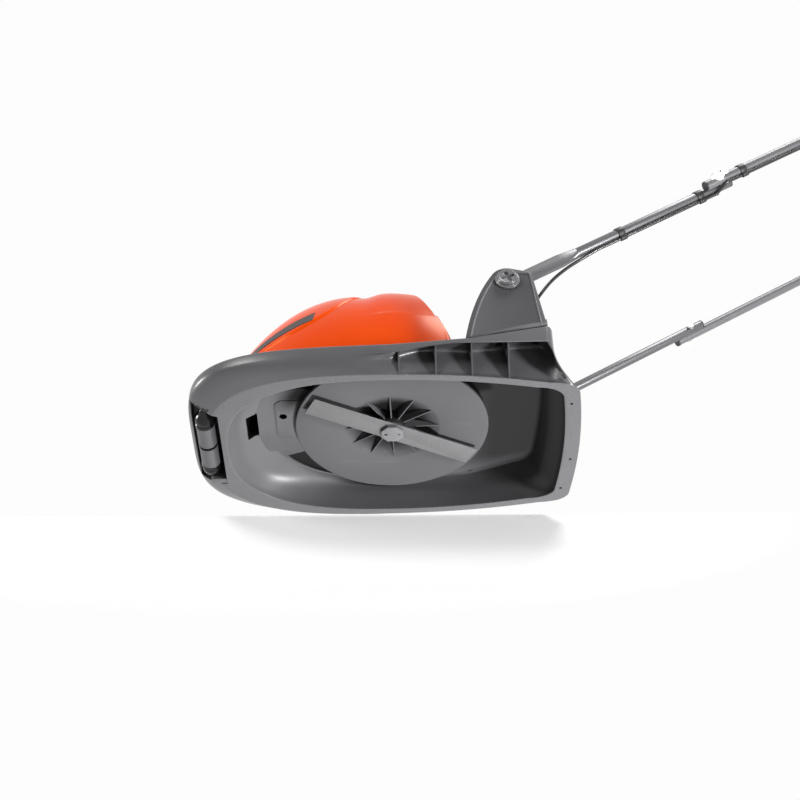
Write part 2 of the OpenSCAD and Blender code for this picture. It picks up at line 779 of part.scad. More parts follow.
module fan() {
  color("gray") at_hub() translate([0, 0, disc_z]) {
    rotate_extrude() polygon([
      [shaft_r + run_gap, 0], [hub_r, 0], [hub_r, dish_h], [dish_r, 0], [fan_r, 0], [fan_r, disc_t + fan_lip],
      [fan_r - disc_t, disc_t + fan_lip], [fan_r - disc_t, disc_t], [dish_r + disc_t, disc_t],
      [hub_r + disc_t, dish_h + disc_t], [hub_r, hub_h], [shaft_r + run_gap, hub_h]
    ]);
    for (k = [0 : dish_vanes - 1]) rotate([0, 0, vane_turn + k * 360 / dish_vanes]) {
      translate([0, vane_t / 2, 0]) rotate([90, 0, 0]) linear_extrude(vane_t)
        polygon([
          [hub_r - vane_in, vane_in], [dish_r - vane_in, vane_in],
          [dish_r + vane_in, vane_in * 2], [hub_r - vane_in, dish_h + vane_in]
        ]);
      translate([dish_r + blower_in, -vane_t / 2, disc_t - vane_in])
        cube([fan_r - blower_out - dish_r - blower_in, vane_t, blower_h + vane_in]);
    }
  }
}

module blade_spacer() {
  color("black") at_hub() translate([0, 0, blade_z + blade_t]) difference() {
    cylinder(r = hub_r, h = spacer_h);
    translate([0, 0, -over]) cylinder(r = bolt_r + seat_gap, h = spacer_h + 2 * over);
  }
}

module blade() {
  color("silver") at_hub() translate([0, 0, blade_z]) rotate([0, 0, blade_turn - 90]) difference() {
    slab(blade_len, blade_w, blade_t);
    translate([0, 0, -over]) cylinder(r = bolt_r + seat_gap, h = blade_t + 2 * over);
    for (a = [0, 180]) rotate([0, 0, a]) translate([blade_w / 2, blade_w / 2, 0]) rotate([90, 0, 90])
      linear_extrude(blade_len)
        polygon([[-blade_bevel, blade_t], [over, blade_t + over], [over, blade_edge_t], [0, blade_edge_t]]);
  }
}

module blade_bolt() {
  color("darkgray") at_hub() translate([0, 0, blade_z]) difference() {
    union() {
      translate([0, 0, -bolt_h]) rotate([0, 0, 180 / 8])
        cylinder(r = bolt_flat / 2 / cos(180 / 8), h = bolt_h, $fn = 8);
      translate([0, 0, -bolt_h]) cylinder(r = bolt_r, h = bolt_h + disc_z - blade_z + bolt_bite - over);
    }
    for (k = [0, 1]) rotate([0, 0, 180 * k - 90]) translate([peg_at, 0, -bolt_h - over])
      cylinder(r = peg_rs[k], h = bolt_h / 2 + over);
  }
}

// Roller: axle, two sleeves and the domed caps beside them
module roller_axle() {
  color("silver") at_hub() translate([0, roller_y, roller_z]) bar_x(axle_r, pocket_w + 2 * axle_seat - over);
}

module roller_sleeve() {
  translate([sleeve_gap / 2, roller_y, roller_z]) rotate([0, 90, 0]) rotate_extrude() polygon([
    [axle_r + run_gap, 0], [roller_r - over, 0], [roller_r, over], [roller_r, sleeve_len - over],
    [roller_r - over, sleeve_len], [axle_r + run_gap, sleeve_len]
  ]);
}

module roller_sleeve_left() {
  color("gray") at_hub() roller_sleeve();
}

module roller_sleeve_right() {
  color("gray") at_hub() mirror([1, 0, 0]) roller_sleeve();
}

module roller_cap() {
  from_x = sleeve_gap / 2 + sleeve_len + side_gap;
  len = pocket_w / 2 - from_x - seat_gap;
  translate([from_x, roller_y, roller_z]) rotate([0, 90, 0]) rotate_extrude() polygon(concat(
    [[axle_r + seat_gap, 0], [cap_r - cap_bead, 0]],
    [for (a = [0 : 15 : 90]) [cap_r - cap_bead + cap_bead * sin(a), cap_bead * (1 - cos(a))]],
    [for (a = [15 : 15 : 90]) [mix(axle_r * 2, cap_r, cos(a)), mix(cap_bead, len, sin(a))]],
    [[axle_r + seat_gap, len]]
  ));
}

module roller_cap_left() {
  color("black") at_hub() roller_cap();
}

module roller_cap_right() {
  color("black") at_hub() mirror([1, 0, 0]) roller_cap();
}

// Handle: places along the handle are measured from the pivot, with Y along the tube
pivot_r = 5;
flat_t = 7;
flat_h = 24;
flat_len = 105;
neck_len = 35;
tube_x = lip_x - bracket_t - side_gap - flat_t / 2;
leg_x = tube_x + 2 * tube_r + side_gap;
tube_end = 26;
knob_h = 9;
star_r = 14;
star_in_share = 0.4;
star_depth = 3;
nut_r = 8;
nut_h = 8;
joint_r = 3;
joint_head_r = 6.5;
joint_head_h = 4;
plug_lip = 2.5;
plug_len = 10;
wing_r = 18;
wing_h = 13;
wing_hub_r = 9;
wing_t = 7;

module on_handle() {
  at_hub() translate([0, pivot_y, pivot_z]) rotate([rake, 0, 0]) children();
}

module pivot_knob() {
  translate([lip_x, pivot_y, pivot_z]) rotate([0, 90, 0]) difference() {
    union() {
      rotate_extrude() polygon([
        [0, 0], [knob_r, 0], [knob_r, knob_h - star_depth], [knob_r - star_depth, knob_h], [0, knob_h]
      ]);
      translate([0, 0, -bracket_t - flat_t - nut_h - side_gap])
        cylinder(r = pivot_r, h = bracket_t + flat_t + nut_h + over);
    }
    translate([0, 0, knob_h - star_depth]) linear_extrude(star_depth + over)
      polygon([for (k = [0 : 7]) star_r * (k % 2 == 0 ? 1 : star_in_share) * [cos(45 * k), sin(45 * k)]]);
  }
}

module pivot_knob_left() {
  color("dimgray") at_hub() pivot_knob();
}

module pivot_knob_right() {
  color("dimgray") at_hub() mirror([1, 0, 0]) pivot_knob();
}

module pivot_nuts() {
  color("silver") at_hub() at_both_sides()
    translate([tube_x - flat_t / 2 - side_gap, pivot_y, pivot_z]) rotate([0, -90, 0]) difference() {
      cylinder(r = nut_r, h = nut_h, $fn = 6);
      translate([0, 0, -over]) cylinder(r = pivot_r + run_gap, h = nut_h + 2 * over);
    }
}

module lower_tube() {
  round_from = flat_len + neck_len;
  translate([tube_x, 0, 0]) difference() {
    union() {
      bar_x(flat_h / 2, flat_t);
      translate([0, flat_len / 2, -flat_h / 2]) slab(flat_t, flat_len, flat_h);
      hull() {
        translate([0, flat_len - over / 2, -flat_h / 2]) slab(flat_t, over, flat_h);
        translate([0, round_from - over, 0]) bar_y(tube_r, over, $fn = 32);
      }
      translate([0, round_from - over, 0]) bar_y(tube_r, fold_len + tube_end - round_from + over);
    }
    bar_x(pivot_r + run_gap, flat_t + 2 * over);
    translate([0, round_from, 0]) bar_y(tube_r - tube_wall, fold_len + tube_end - round_from + over);
    translate([0, fold_len, 0]) bar_x(joint_r + run_gap, tube_r * 3);
  }
}

module lower_tube_left() {
  color("silver") on_handle() lower_tube();
}

module lower_tube_right() {
  color("silver") on_handle() mirror([1, 0, 0]) lower_tube();
}

module plug() {
  bar_y(tube_r, plug_lip);
  translate([0, -plug_len, 0]) bar_y(tube_r - tube_wall - seat_gap, plug_len + over);
}

module lower_plugs() {
  color("black") on_handle() at_both_sides() translate([tube_x, fold_len + tube_end, 0]) plug();
}

module upper_plugs() {
  color("black") on_handle() at_both_sides()
    translate([leg_x, fold_len - tube_end, 0]) rotate([0, 0, 180]) plug();
}

module joint_bolts() {
  from_x = tube_x - tube_r - joint_head_h;
  len = leg_x + tube_r + wing_h - from_x - over;
  color("silver") on_handle() at_both_sides() translate([from_x, fold_len, 0]) rotate([0, 90, 0]) {
    cylinder(r = joint_head_r, h = joint_head_h);
    cylinder(r = joint_r, h = len);
  }
}

module wing_knob() {
  translate([leg_x + tube_r + side_gap, fold_len, 0]) rotate([0, 90, 0]) difference() {
    union() {
      cylinder(r = wing_hub_r, h = wing_h);
      intersection() {
        translate([0, 0, wing_t / 2]) slab(wing_t, 2 * wing_r, wing_h - wing_t / 2);
        rotate([0, 90, 0]) cylinder(r = wing_r, h = wing_t * 2, center = true);
      }
    }
    translate([0, 0, -over]) cylinder(r = joint_r + run_gap, h = wing_h + 2 * over);
  }
}

module wing_knob_left() {
  color("ivory") on_handle() wing_knob();
}

module wing_knob_right() {
  color("ivory") on_handle() mirror([1, 0, 0]) wing_knob();
}

module handle_path(r) {
  cross_x = leg_x - bend_r;
  at_both_sides() {
    translate([leg_x, fold_len - tube_end, 0]) bar_y(r, grip_len - bend_r - fold_len + tube_end);
    translate([cross_x, grip_len - bend_r, 0])
      rotate_extrude(angle = 90) translate([bend_r, 0]) circle(r = r);
  }
  translate([0, grip_len, 0]) bar_x(r, 2 * cross_x);
}

module upper_handle() {
  color("dimgray") on_handle() difference() {
    handle_path(tube_r);
    handle_path(tube_r - tube_wall);
    at_both_sides() translate([leg_x, fold_len - tube_end - over, 0]) bar_y(tube_r - tube_wall, 2 * over);
    translate([0, fold_len, 0]) bar_x(joint_r + run_gap, 2 * leg_x + 3 * tube_r);
  }
}

// Switch box: two shells round the cross tube, with the lever's shaft on their split
box_w = 116;
box_nose_r = 15;
box_nose = 46;
box_wall = 2.5;
box_room = 80;
box_screw_in = 9;
box_screw_x = box_w / 2 - box_screw_in;
box_screw_y = -26;
box_screw_low = -10;
lever_r = 4;
lever_arm_t = 5;
lever_bar_r = 6;
lever_bar_len = 62;
lever_at = [40, -42];
button_r = 6;
button_y = -28;
button_rise = 5;
button_flange = 2;
button_low = 6;
switch_size = [20, 12, 8];
switch_top = -2;
inlet_len = 14;
inlet_seat = 3;
inlet_out_r = 6.5;
inlet_in_r = 3.5;
inlet_x = -22;
spring_r = 4;
spring_wall = 1;

module on_grip() {
  on_handle() translate([0, grip_len, 0]) children();
}

module box_form(inset, w) {
  hull() {
    bar_x(box_r - inset, w, $fn = 48);
    translate([0, -box_nose, 0]) bar_x(box_nose_r - inset, w, $fn = 48);
  }
}

module box_half(sign) {
  difference() {
    intersection() {
      difference() {
        box_form(0, box_w);
        box_form(box_wall, box_room);
      }
      translate([0, -box_nose / 2, sign > 0 ? 0 : -box_r - over]) slab(box_w * 2, box_nose * 4, box_r + over);
    }
    bar_x(tube_r + seat_gap, box_w * 2);
    translate([0, -box_nose, 0]) bar_x(lever_r + run_gap, box_w * 2);
    for (x = [-box_screw_x, box_screw_x]) translate([x, box_screw_y, -box_r])
      cylinder(r = screw_r + seat_gap, h = box_r + screw_bite);
  }
}

module switch_box_upper() {
  color("black") on_grip() difference() {
    box_half(1);
    translate([0, button_y, 0]) cylinder(r = button_r + run_gap, h = box_r + over);
  }
}

module switch_box_lower() {
  color("black") on_grip() difference() {
    union() {
      box_half(-1);
      intersection() {
        box_form(0, box_w);
        translate([0, button_y, -box_r])
          slab(switch_size.x, switch_size.y, box_r + switch_top - switch_size.z);
      }
    }
    for (x = [-box_screw_x, box_screw_x]) translate([x, box_screw_y, -box_r - over])
      cylinder(r = screw_head_r + seat_gap, h = box_r + over + box_screw_low);
    translate([box_w / 2 - screw_bite, 0, lead_drop]) rotate([0, 90, 0])
      cylinder(r = lead_r + seat_gap, h = screw_bite + over);
    translate([inlet_x, -box_nose - box_nose_r - over, lead_drop + inlet_in_r]) {
      bar_y(inlet_in_r, box_nose_r);
      bar_y(inlet_out_r + seat_gap, inlet_seat + over);
    }
  }
}

module box_screws() {
  color("silver") on_grip() for (x = [-box_screw_x, box_screw_x]) translate([x, box_screw_y, box_screw_low]) {
    translate([0, 0, -screw_head_h]) cylinder(r = screw_head_r, h = screw_head_h);
    translate([0, 0, -over]) cylinder(r = screw_r, h = screw_bite - box_screw_low - over);
  }
}

module microswitch() {
  color("saddlebrown") on_grip() translate([0, button_y, switch_top - switch_size.z])
    slab(switch_size.x, switch_size.y, switch_size.z);
}

module lock_button() {
  color("orangered") on_grip() translate([0, button_y, button_low]) {
    cylinder(r = button_r, h = button_top - button_low + button_rise);
    cylinder(r = button_r + button_flange, h = button_flange);
  }
}

module button_spring() {
  color("silver") on_grip() translate([0, button_y, switch_top]) difference() {
    cylinder(r = spring_r, h = button_low - switch_top);
    translate([0, 0, -over]) cylinder(r = spring_r - spring_wall, h = button_low - switch_top + 2 * over);
  }
}
button_top = mix(box_r, box_nose_r, -button_y / box_nose);

module switch_lever() {
  arm_x = box_w / 2 + side_gap;
  reach = norm(lever_at);
  color("orangered") on_grip() translate([0, -box_nose, 0]) rotate([atan2(lever_at.y, lever_at.x), 0, 0]) {
    bar_x(lever_r, box_w + 2 * side_gap + 2 * lever_arm_t);
    at_both_sides() {
      translate([arm_x + lever_arm_t / 2, 0, 0]) bar_x(lever_bar_r, lever_arm_t);
      translate([arm_x + lever_arm_t / 2, reach / 2, -lever_bar_r]) slab(lever_arm_t, reach, 2 * lever_bar_r);
      translate([arm_x + lever_bar_len / 2, reach, 0]) bar_x(lever_bar_r, lever_bar_len);
    }
  }
}

module mains_inlet() {
  color("black") on_grip() translate([inlet_x, -box_nose - box_nose_r + inlet_seat, lead_drop + inlet_in_r])
    rotate([90, 0, 0]) difference() {
      union() {
        cylinder(r = inlet_out_r, h = inlet_len);
        translate([0, 0, -inlet_seat]) cylinder(r = inlet_in_r - seat_gap, h = inlet_len);
      }
      translate([0, 0, inlet_len / 2]) cylinder(r = inlet_in_r - over, h = inlet_len);
    }
}

// Lead: a round tube swept along its route, with the frame of each ring set by one fixed direction
lead_sides = 10;
lead_drop = -tube_r - lead_r - seat_gap;
gland_len = 30;
gland_tip_r = 4.4;
clip_w = 12;
clip_wall = 1.8;
lower_clip_shares = [0.523, 0.908];
upper_clip_shares = [0.084, 0.478, 0.848];
lead_start_share = 0.436;
lead_start = fold_len * lead_start_share;
lead_lift = 16;
lead_joint = 14;
lead_stub = 2;
function unit(v) = v / norm(v);
function sweep_points(path, up) = [
  for (k = [0 : len(path) - 1])
    let (
      t = unit(path[min(k + 1, len(path) - 1)] - path[max(k - 1, 0)]),
      s = unit(cross(t, up)), n = cross(s, t)
    )
    for (m = [0 : lead_sides - 1])
      path[k] + lead_r * (cos(360 * m / lead_sides) * s + sin(360 * m / lead_sides) * n)
];
function sweep_faces(count) = concat(
  [[for (m = [0 : lead_sides - 1]) m]],
  [
    for (k = [0 : count - 2], m = [0 : lead_sides - 1])
      let (a = k * lead_sides + m, b = k * lead_sides + (m + 1) % lead_sides)
      each [[a, a + lead_sides, b + lead_sides], [a, b + lead_sides, b]]
  ],
  [[for (m = [lead_sides - 1 : -1 : 0]) (count - 1) * lead_sides + m]]
);

module sweep(path, up) {
  polyhedron(points = sweep_points(path, up), faces = sweep_faces(len(path)));
}

// The free stretch: hand-chosen points from the gland up to the left tube
lead_route = [
  [70, 150, 140], [71, 166, 142], [78, 186, 150], [92, 206, 166],
  [112, 226, 186], [134, 246, 206], [154, 268, 224],
  [168, 292, 238], [176, 316, 251]
];

function handle_point(x, y, z) = [
  x, pivot_y + y * cos(rake) - z * sin(rake), pivot_z + y * sin(rake) + z * cos(rake)
];

module lead_gland() {
  color("black") at_hub() translate([gland_x, gland_y, gland_z]) difference() {
    union() {
      translate([0, -gland_len / 3, 0]) bar_y(gland_r, gland_len / 3 + over);
      rotate([-90, 0, 0]) rotate_extrude() polygon([
        [0, 0], [gland_r, 0], [gland_tip_r, lead_route[0].y - gland_y], [0, lead_route[0].y - gland_y]
      ]);
    }
    translate([0, lead_route[0].y - gland_y - gland_len / 2, 0]) bar_y(lead_r + seat_gap, gland_len);
  }
}

module lead_free() {
  inside = [gland_x, lead_route[0].y - gland_len / 2 + over, gland_z];
  color("black") at_hub() sweep(
    concat(
      [inside], lead_route,
      [handle_point(tube_x, lead_start - lead_lift, lead_drop), handle_point(tube_x, lead_start, lead_drop)]
    ),
    [1, 0, 0]
  );
}

module lead_lower() {
  color("black") on_handle() sweep(
    [for (y = [lead_start, fold_len - lead_joint]) [tube_x, y, lead_drop]], [1, 0, 0]
  );
}

module lead_bend() {
  color("black") on_handle() sweep(
    concat(
      [[tube_x, fold_len - lead_joint, lead_drop]],
      [
        for (t = [0 : 0.125 : 1])
          [mix(tube_x, leg_x, ease(t)), fold_len + mix(-1, 1, t) * (lead_joint - lead_stub), lead_drop]
      ],
      [[leg_x, fold_len + lead_joint, lead_drop]]
    ),
    [0, 0, 1]
  );
}

module lead_upper() {
  cross_x = leg_x - bend_r;
  color("black") on_handle() sweep(
    concat(
      [[leg_x, fold_len + lead_joint, lead_drop]],
      [for (a = [0 : 10 : 90]) [cross_x + bend_r * cos(a), grip_len - bend_r + bend_r * sin(a), lead_drop]],
      [[box_w / 2 - screw_bite + over, grip_len, lead_drop]]
    ),
    [0, 0, 1]
  );
}

module clip(x, y) {
  translate([x, y - clip_w / 2, 0]) difference() {
    union() {
      bar_y(tube_r + clip_wall, clip_w);
      translate([0, 0, lead_drop]) bar_y(lead_r + clip_wall, clip_w);
    }
    translate([0, -over, 0]) bar_y(tube_r + seat_gap, clip_w + 2 * over);
    translate([0, -over, lead_drop]) bar_y(lead_r + seat_gap, clip_w + 2 * over);
  }
}

module lead_clips_lower() {
  color("black") on_handle() for (t = lower_clip_shares) clip(tube_x, fold_len * t);
}

module lead_clips_upper() {
  color("black") on_handle() for (t = upper_clip_shares) clip(leg_x, mix(fold_len, grip_len, t));
}

deck();
hood();
vent_left();
vent_right();
bracket_left();
bracket_right();
bracket_screws();
hood_screws();
motor_plate();
plate_screws();
motor_can();
motor_cap();
stator();
brush_holders();
bearing_lower();
bearing_upper();
motor_shaft();
armature();
commutator();
fan();
blade_spacer();
blade();
blade_bolt();
roller_axle();
roller_sleeve_left();
roller_sleeve_right();
roller_cap_left();
roller_cap_right();
pivot_knob_left();
pivot_knob_right();
pivot_nuts();
lower_tube_left();
lower_tube_right();
lower_plugs();
joint_bolts();
wing_knob_left();
wing_knob_right();
upper_handle();
upper_plugs();
switch_box_upper();
switch_box_lower();
box_screws();
microswitch();
switch_lever();
lock_button();
button_spring();
mains_inlet();
lead_gland();
lead_free();
lead_lower();
lead_bend();
lead_upper();
lead_clips_lower();
lead_clips_upper();
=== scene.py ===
"""Hover mower seen from under its tipped deck: camera, studio, materials and the pieces that show."""

import json
import math

import bmesh
import bpy
import numpy as np
from mathutils import Matrix, Vector


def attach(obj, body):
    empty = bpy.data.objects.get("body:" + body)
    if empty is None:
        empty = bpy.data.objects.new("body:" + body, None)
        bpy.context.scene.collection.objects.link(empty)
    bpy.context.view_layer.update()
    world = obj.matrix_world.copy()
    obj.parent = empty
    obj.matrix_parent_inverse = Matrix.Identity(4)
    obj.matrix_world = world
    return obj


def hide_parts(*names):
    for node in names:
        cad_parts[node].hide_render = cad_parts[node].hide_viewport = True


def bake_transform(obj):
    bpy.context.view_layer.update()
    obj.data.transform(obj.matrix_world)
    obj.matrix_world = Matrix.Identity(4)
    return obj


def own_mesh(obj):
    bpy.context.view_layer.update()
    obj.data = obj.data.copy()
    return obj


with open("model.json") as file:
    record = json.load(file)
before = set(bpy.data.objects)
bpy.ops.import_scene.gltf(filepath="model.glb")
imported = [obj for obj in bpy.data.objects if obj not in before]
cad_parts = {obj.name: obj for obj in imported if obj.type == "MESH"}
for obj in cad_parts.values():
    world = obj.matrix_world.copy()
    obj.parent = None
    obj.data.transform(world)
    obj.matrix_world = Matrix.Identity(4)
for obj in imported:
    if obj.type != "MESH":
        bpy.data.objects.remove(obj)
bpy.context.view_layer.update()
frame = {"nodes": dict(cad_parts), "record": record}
scene = bpy.context.scene

# Sizes of the mower in millimetres, measured from the blade's axis
RIM_X, RIM_FRONT, RIM_REAR, RIM_TAPER = 184.0, 300.0, 308.0, 0.86
RIM_SIDE, RIM_NOSE, RIM_TAIL = 14.0, 30.0, 26.0
LIP_X, NOSE_Y, LIP_REAR = 195.0, 331.0, 262.0
LIP_TOP, LIP_TOP_NOSE, LIP_LOW, LIP_LOW_NOSE, LIP_LOW_REAR = 55.0, 44.0, 42.0, 30.0, 56.0
ROOF_Z, SEAT_Z, TAIL_Z, INLET_R = 57.0, 66.0, 89.0, 80.0
HOOD_X, HOOD_FRONT, HOOD_REAR, HOOD_H, HOOD_WALL = 146.0, 289.0, 113.0, 244.0, 2.6
HOOD_TAPER, HOOD_POWER = 0.93, 2.2
CROWN_FRONT, CROWN_REAR = -81.0, 26.0
HOOD_BACK_Y, HOOD_BACK_Z, HOOD_BACK_LEAN, HOOD_BACK_SOFT = 47.0, 258.0, 2.58, 3.0
FOOT_FRONT, FOOT_REAR = 124.0, 250.0
PIVOT_Y, PIVOT_Z, RAKE = 192.0, 190.0, math.radians(31.0)
TUBE_X, LEG_X, TUBE_R = 181.1, 198.5, 8.5
FOLD_LEN, GRIP_LEN, BEND_R, BOX_R, BOX_W = 436.0, 1030.0, 55.0, 24.0, 116.0
LEAD_R = 2.8
LEAD_DROP = -TUBE_R - LEAD_R - 0.1
LEAD_START, LEAD_JOINT = FOLD_LEN * 0.436, 14.0
BLADE_TURN = math.radians(-27.7)
FAN_R, FAN_Z, FAN_HUB, FAN_DISH, DISH_DEPTH, VANE_TURN = 160.0, 43.0, 22.0, 80.0, 17.0, math.radians(-2.0)
ROLLER_AT = (0, -304, 18)
CHANNEL_R, CHANNEL_Z = 152.0, 63.5
HUB_Y = (NOSE_Y - PIVOT_Y - GRIP_LEN * math.cos(RAKE) - BOX_R) / 2
TO_AXIS = (0.0, -HUB_Y * 0.001, 0.0)
SIDE_SHARES, LIP_SHARES = (0.815, 0.7, 0.974), (0.94, 0.9, 0.985)
NOSE_STEPS, SIDE_STEPS, CORNER_STEPS, TAIL_STEPS = 20, 9, 6, 5
HALF_STEPS = NOSE_STEPS + SIDE_STEPS + CORNER_STEPS + TAIL_STEPS


def to_row(points):
    """Millimetres about the blade's axis to metres in the row frame."""
    return (np.asarray(points, float) + np.array([0.0, HUB_Y, 0.0])) * 0.001


def handle_point(x, y, z):
    """A point given along the raked handle: y up the tube from the pivot, z square to it."""
    return (
        x,
        PIVOT_Y + y * math.cos(RAKE) - z * math.sin(RAKE),
        PIVOT_Z + y * math.sin(RAKE) + z * math.cos(RAKE),
    )


def mix(a, b, t):
    return a + (b - a) * t


def ease(t):
    c = np.clip(t, 0.0, 1.0)
    return c * c * (3 - 2 * c)


def srgb(*levels):
    """Display levels of 0 to 255 as a linear colour."""
    return [(v / 255 / 12.92) if v < 10.3 else ((v / 255 + 0.055) / 1.055) ** 2.4 for v in levels] + [1.0]


def add_object(name, data):
    obj = bpy.data.objects.new(name, data)
    scene.collection.objects.link(obj)
    return obj


def axes_at(place, *axes):
    """The placing of an object whose X, Y and Z point along three axes."""
    return Matrix.Translation(place) @ Matrix(axes).transposed().to_4x4()


# Camera at the photograph's viewing angle


def set_camera():
    back = Vector((0.76604, -0.00031, -0.64279)).normalized()
    right = Vector((0.64269, 0.01764, 0.76592)).cross(back).normalized()
    data = bpy.data.cameras.new("camera")
    data.lens, data.sensor_width, data.clip_end = 72.08, 36.0, 50.0
    scene.camera = add_object("camera", data)
    scene.camera.matrix_world = axes_at((2.06676, -0.37084, -1.63166), right, back.cross(right), back)


set_camera()


# Pieces


def add_piece(name, mesh, slot, angle=35.0):
    """A finished mesh as a piece with its material and record slot."""
    mesh.polygons.foreach_set("use_smooth", [True] * len(mesh.polygons))
    mesh.set_sharp_from_angle(angle=math.radians(angle))
    mesh.materials.clear()
    mesh.materials.append(FINISHES[slot])
    obj = add_object(name, mesh)
    return obj


def owner_of(node):
    return next(body for body, nodes in frame["record"]["behaviour"]["bodies"].items() if node in nodes)


def fit_piece(name, mesh, slot, node, angle=35.0):
    """A piece that stands in for a node and rides the node's body."""
    piece = add_piece(name, mesh, slot, angle)
    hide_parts(node)
    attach(piece, owner_of(node))
    return piece


def fit_pair(name, mesh, slot, node, angle=35.0):
    """The same piece on the left and, mirrored, on the right."""
    for side, part in (("left", mesh), ("right", mirrored(mesh))):
        fit_piece(name.format(side), part, slot, node.format(side), angle)


# Meshes


def joined(name, meshes):
    """Several meshes as one, each kept as its own shell."""
    bm = bmesh.new()
    for mesh in meshes:
        bm.from_mesh(mesh)
    out = bpy.data.meshes.new(name)
    bm.to_mesh(out)
    bm.free()
    return out


def mirrored(mesh):
    out = mesh.copy()
    bm = bmesh.new()
    bm.from_mesh(out)
    bmesh.ops.scale(bm, vec=(-1, 1, 1), verts=bm.verts)
    bmesh.ops.reverse_faces(bm, faces=bm.faces)
    bm.to_mesh(out)
    bm.free()
    return out


def broken(mesh, width, angle=40.0):
    """The mesh with its sharp edges broken, as a moulding or casting has them."""
    bm = bmesh.new()
    bm.from_mesh(mesh)
    bmesh.ops.remove_doubles(bm, verts=bm.verts, dist=1e-6)
    bmesh.ops.dissolve_limit(bm, angle_limit=math.radians(0.6), verts=bm.verts, edges=bm.edges)
    sharp = [e for e in bm.edges if len(e.link_faces) == 2 and e.calc_face_angle(0.0) > math.radians(angle)]
    bmesh.ops.bevel(
        bm, geom=sharp, offset=width * 0.001, segments=2, affect="EDGES", profile=0.5, clamp_overlap=True
    )
    bm.to_mesh(mesh)
    bm.free()
    return mesh


def evaluated(obj):
    """The mesh of an object after its modifiers."""
    bpy.context.view_layer.update()
    return bpy.data.meshes.new_from_object(obj.evaluated_get(bpy.context.evaluated_depsgraph_get()))


def carve(mesh, cutter):
    """The mesh with the cutter's volume taken out."""
    body, tool = add_object("body", mesh), add_object("tool", cutter)
    cut = body.modifiers.new("cut", "BOOLEAN")
    cut.object, cut.operation, cut.solver = tool, "DIFFERENCE", "EXACT"
    out = evaluated(body)
    for obj in (body, tool):
        bpy.data.objects.remove(obj)
    return out


def ring_skin(name, rings, caps=True, closed=False):
    """A skin over rings of equal count in millimetres: capped, open, or closed from the last ring to the first."""
    n, count = len(rings[0]), len(rings)
    faces = [list(range(n)), list(range((count - 1) * n, count * n))] if caps else []
    for j in range(count if closed else count - 1):
        a, b = j * n, (j + 1) % count * n
        faces += [[a + i, a + (i + 1) % n, b + (i + 1) % n, b + i] for i in range(n)]
    mesh = bpy.data.meshes.new(name)
    mesh.from_pydata(to_row(np.vstack(rings)).tolist(), [], faces)
    bm = bmesh.new()
    bm.from_mesh(mesh)
    bmesh.ops.remove_doubles(bm, verts=bm.verts, dist=2e-6)
    bmesh.ops.recalc_face_normals(bm, faces=bm.faces)
    bm.to_mesh(mesh)
    bm.free()
    return mesh


def along_axis(axis, points):
    """Points (a, b, height) set along an axis: Z over X-Y, X over Y-Z or Y over X-Z."""
    return np.array(points)[:, {"Z": (0, 1, 2), "X": (2, 0, 1), "Y": (0, 2, 1)}[axis]]


def prism(name, line, low, high, axis="Z"):
    """A closed outline of (a, b) points drawn out along an axis."""
    return ring_skin(name, [along_axis(axis, [(*p, h) for p in line]) for h in (low, high)])


def loft(name, rings, closed):
    """A skin over mirrored half rings."""
    return ring_skin(name, [np.vstack([r, r[-2:0:-1] * (-1, 1, 1)]) for r in rings], False, closed)


def spun(name, corners, at, axis="Z", sides=72):
    """A closed profile of (radius, height, reach) corners, each rounded by its reach, turned about an axis."""
    profile = np.vstack(rounded([np.array([[r, h]]) for r, h, _ in corners], [c[2] for c in corners]))
    rings = []
    for a in np.linspace(0, 2 * math.pi, sides, endpoint=False):
        rings.append(np.array(at) + along_axis(axis, [(r * math.cos(a), r * math.sin(a), h) for r, h in profile]))
    return ring_skin(name, rings, False, True)


def tube_mesh(name, path, radius, sides=20):
    """A round solid along a path in millimetres, carried without twist."""
    path = np.asarray(path, float)
    way = np.gradient(path, axis=0)
    way /= np.linalg.norm(way, axis=1)[:, None]
    side = np.cross(way[0], (0.3, 0.1, 0.95))
    rings = []
    turns = np.linspace(0, 2 * math.pi, sides, endpoint=False)
    for p, t in zip(path, way):
        side = side - t * side.dot(t)
        side /= np.linalg.norm(side)
        other = np.cross(t, side)
        rings.append([p + radius * (math.cos(a) * side + math.sin(a) * other) for a in turns])
    return ring_skin(name, rings)


def arc_line(centre, r, start, end, n):
    """Points on an arc, its angles in degrees."""
    return [np.array(centre) + r * np.array([math.cos(a), math.sin(a)]) for a in np.radians(np.linspace(start, end, n))]


def circle_line(cx, cy, r, n=40):
    return arc_line((cx, cy), r, 0, 360, n + 1)[:-1]


def rounded_box_line(x0, y0, x1, y1, r, n=6):
    corners = ((x1 - r, y1 - r, 0), (x0 + r, y1 - r, 90), (x0 + r, y0 + r, 180), (x1 - r, y0 + r, 270))
    return [p for cx, cy, a in corners for p in arc_line((cx, cy), r, a, a + 90, n + 1)]


def smooth_path(points, n):
    """Points spread evenly by knot along a smooth line through the given ones."""
    p = np.asarray(points, float)
    p = np.vstack([2 * p[0] - p[1], p, 2 * p[-1] - p[-2]])
    s = np.linspace(0, len(p) - 3, n)
    k = np.minimum(s.astype(int), len(p) - 4)
    t = (s - k)[:, None]
    a, b, c, d = p[k], p[k + 1], p[k + 2], p[k + 3]
    return 0.5 * (2 * b + (c - a) * t + (2 * a - 5 * b + 4 * c - d) * t**2 + (3 * b - a - 3 * c + d) * t**3)


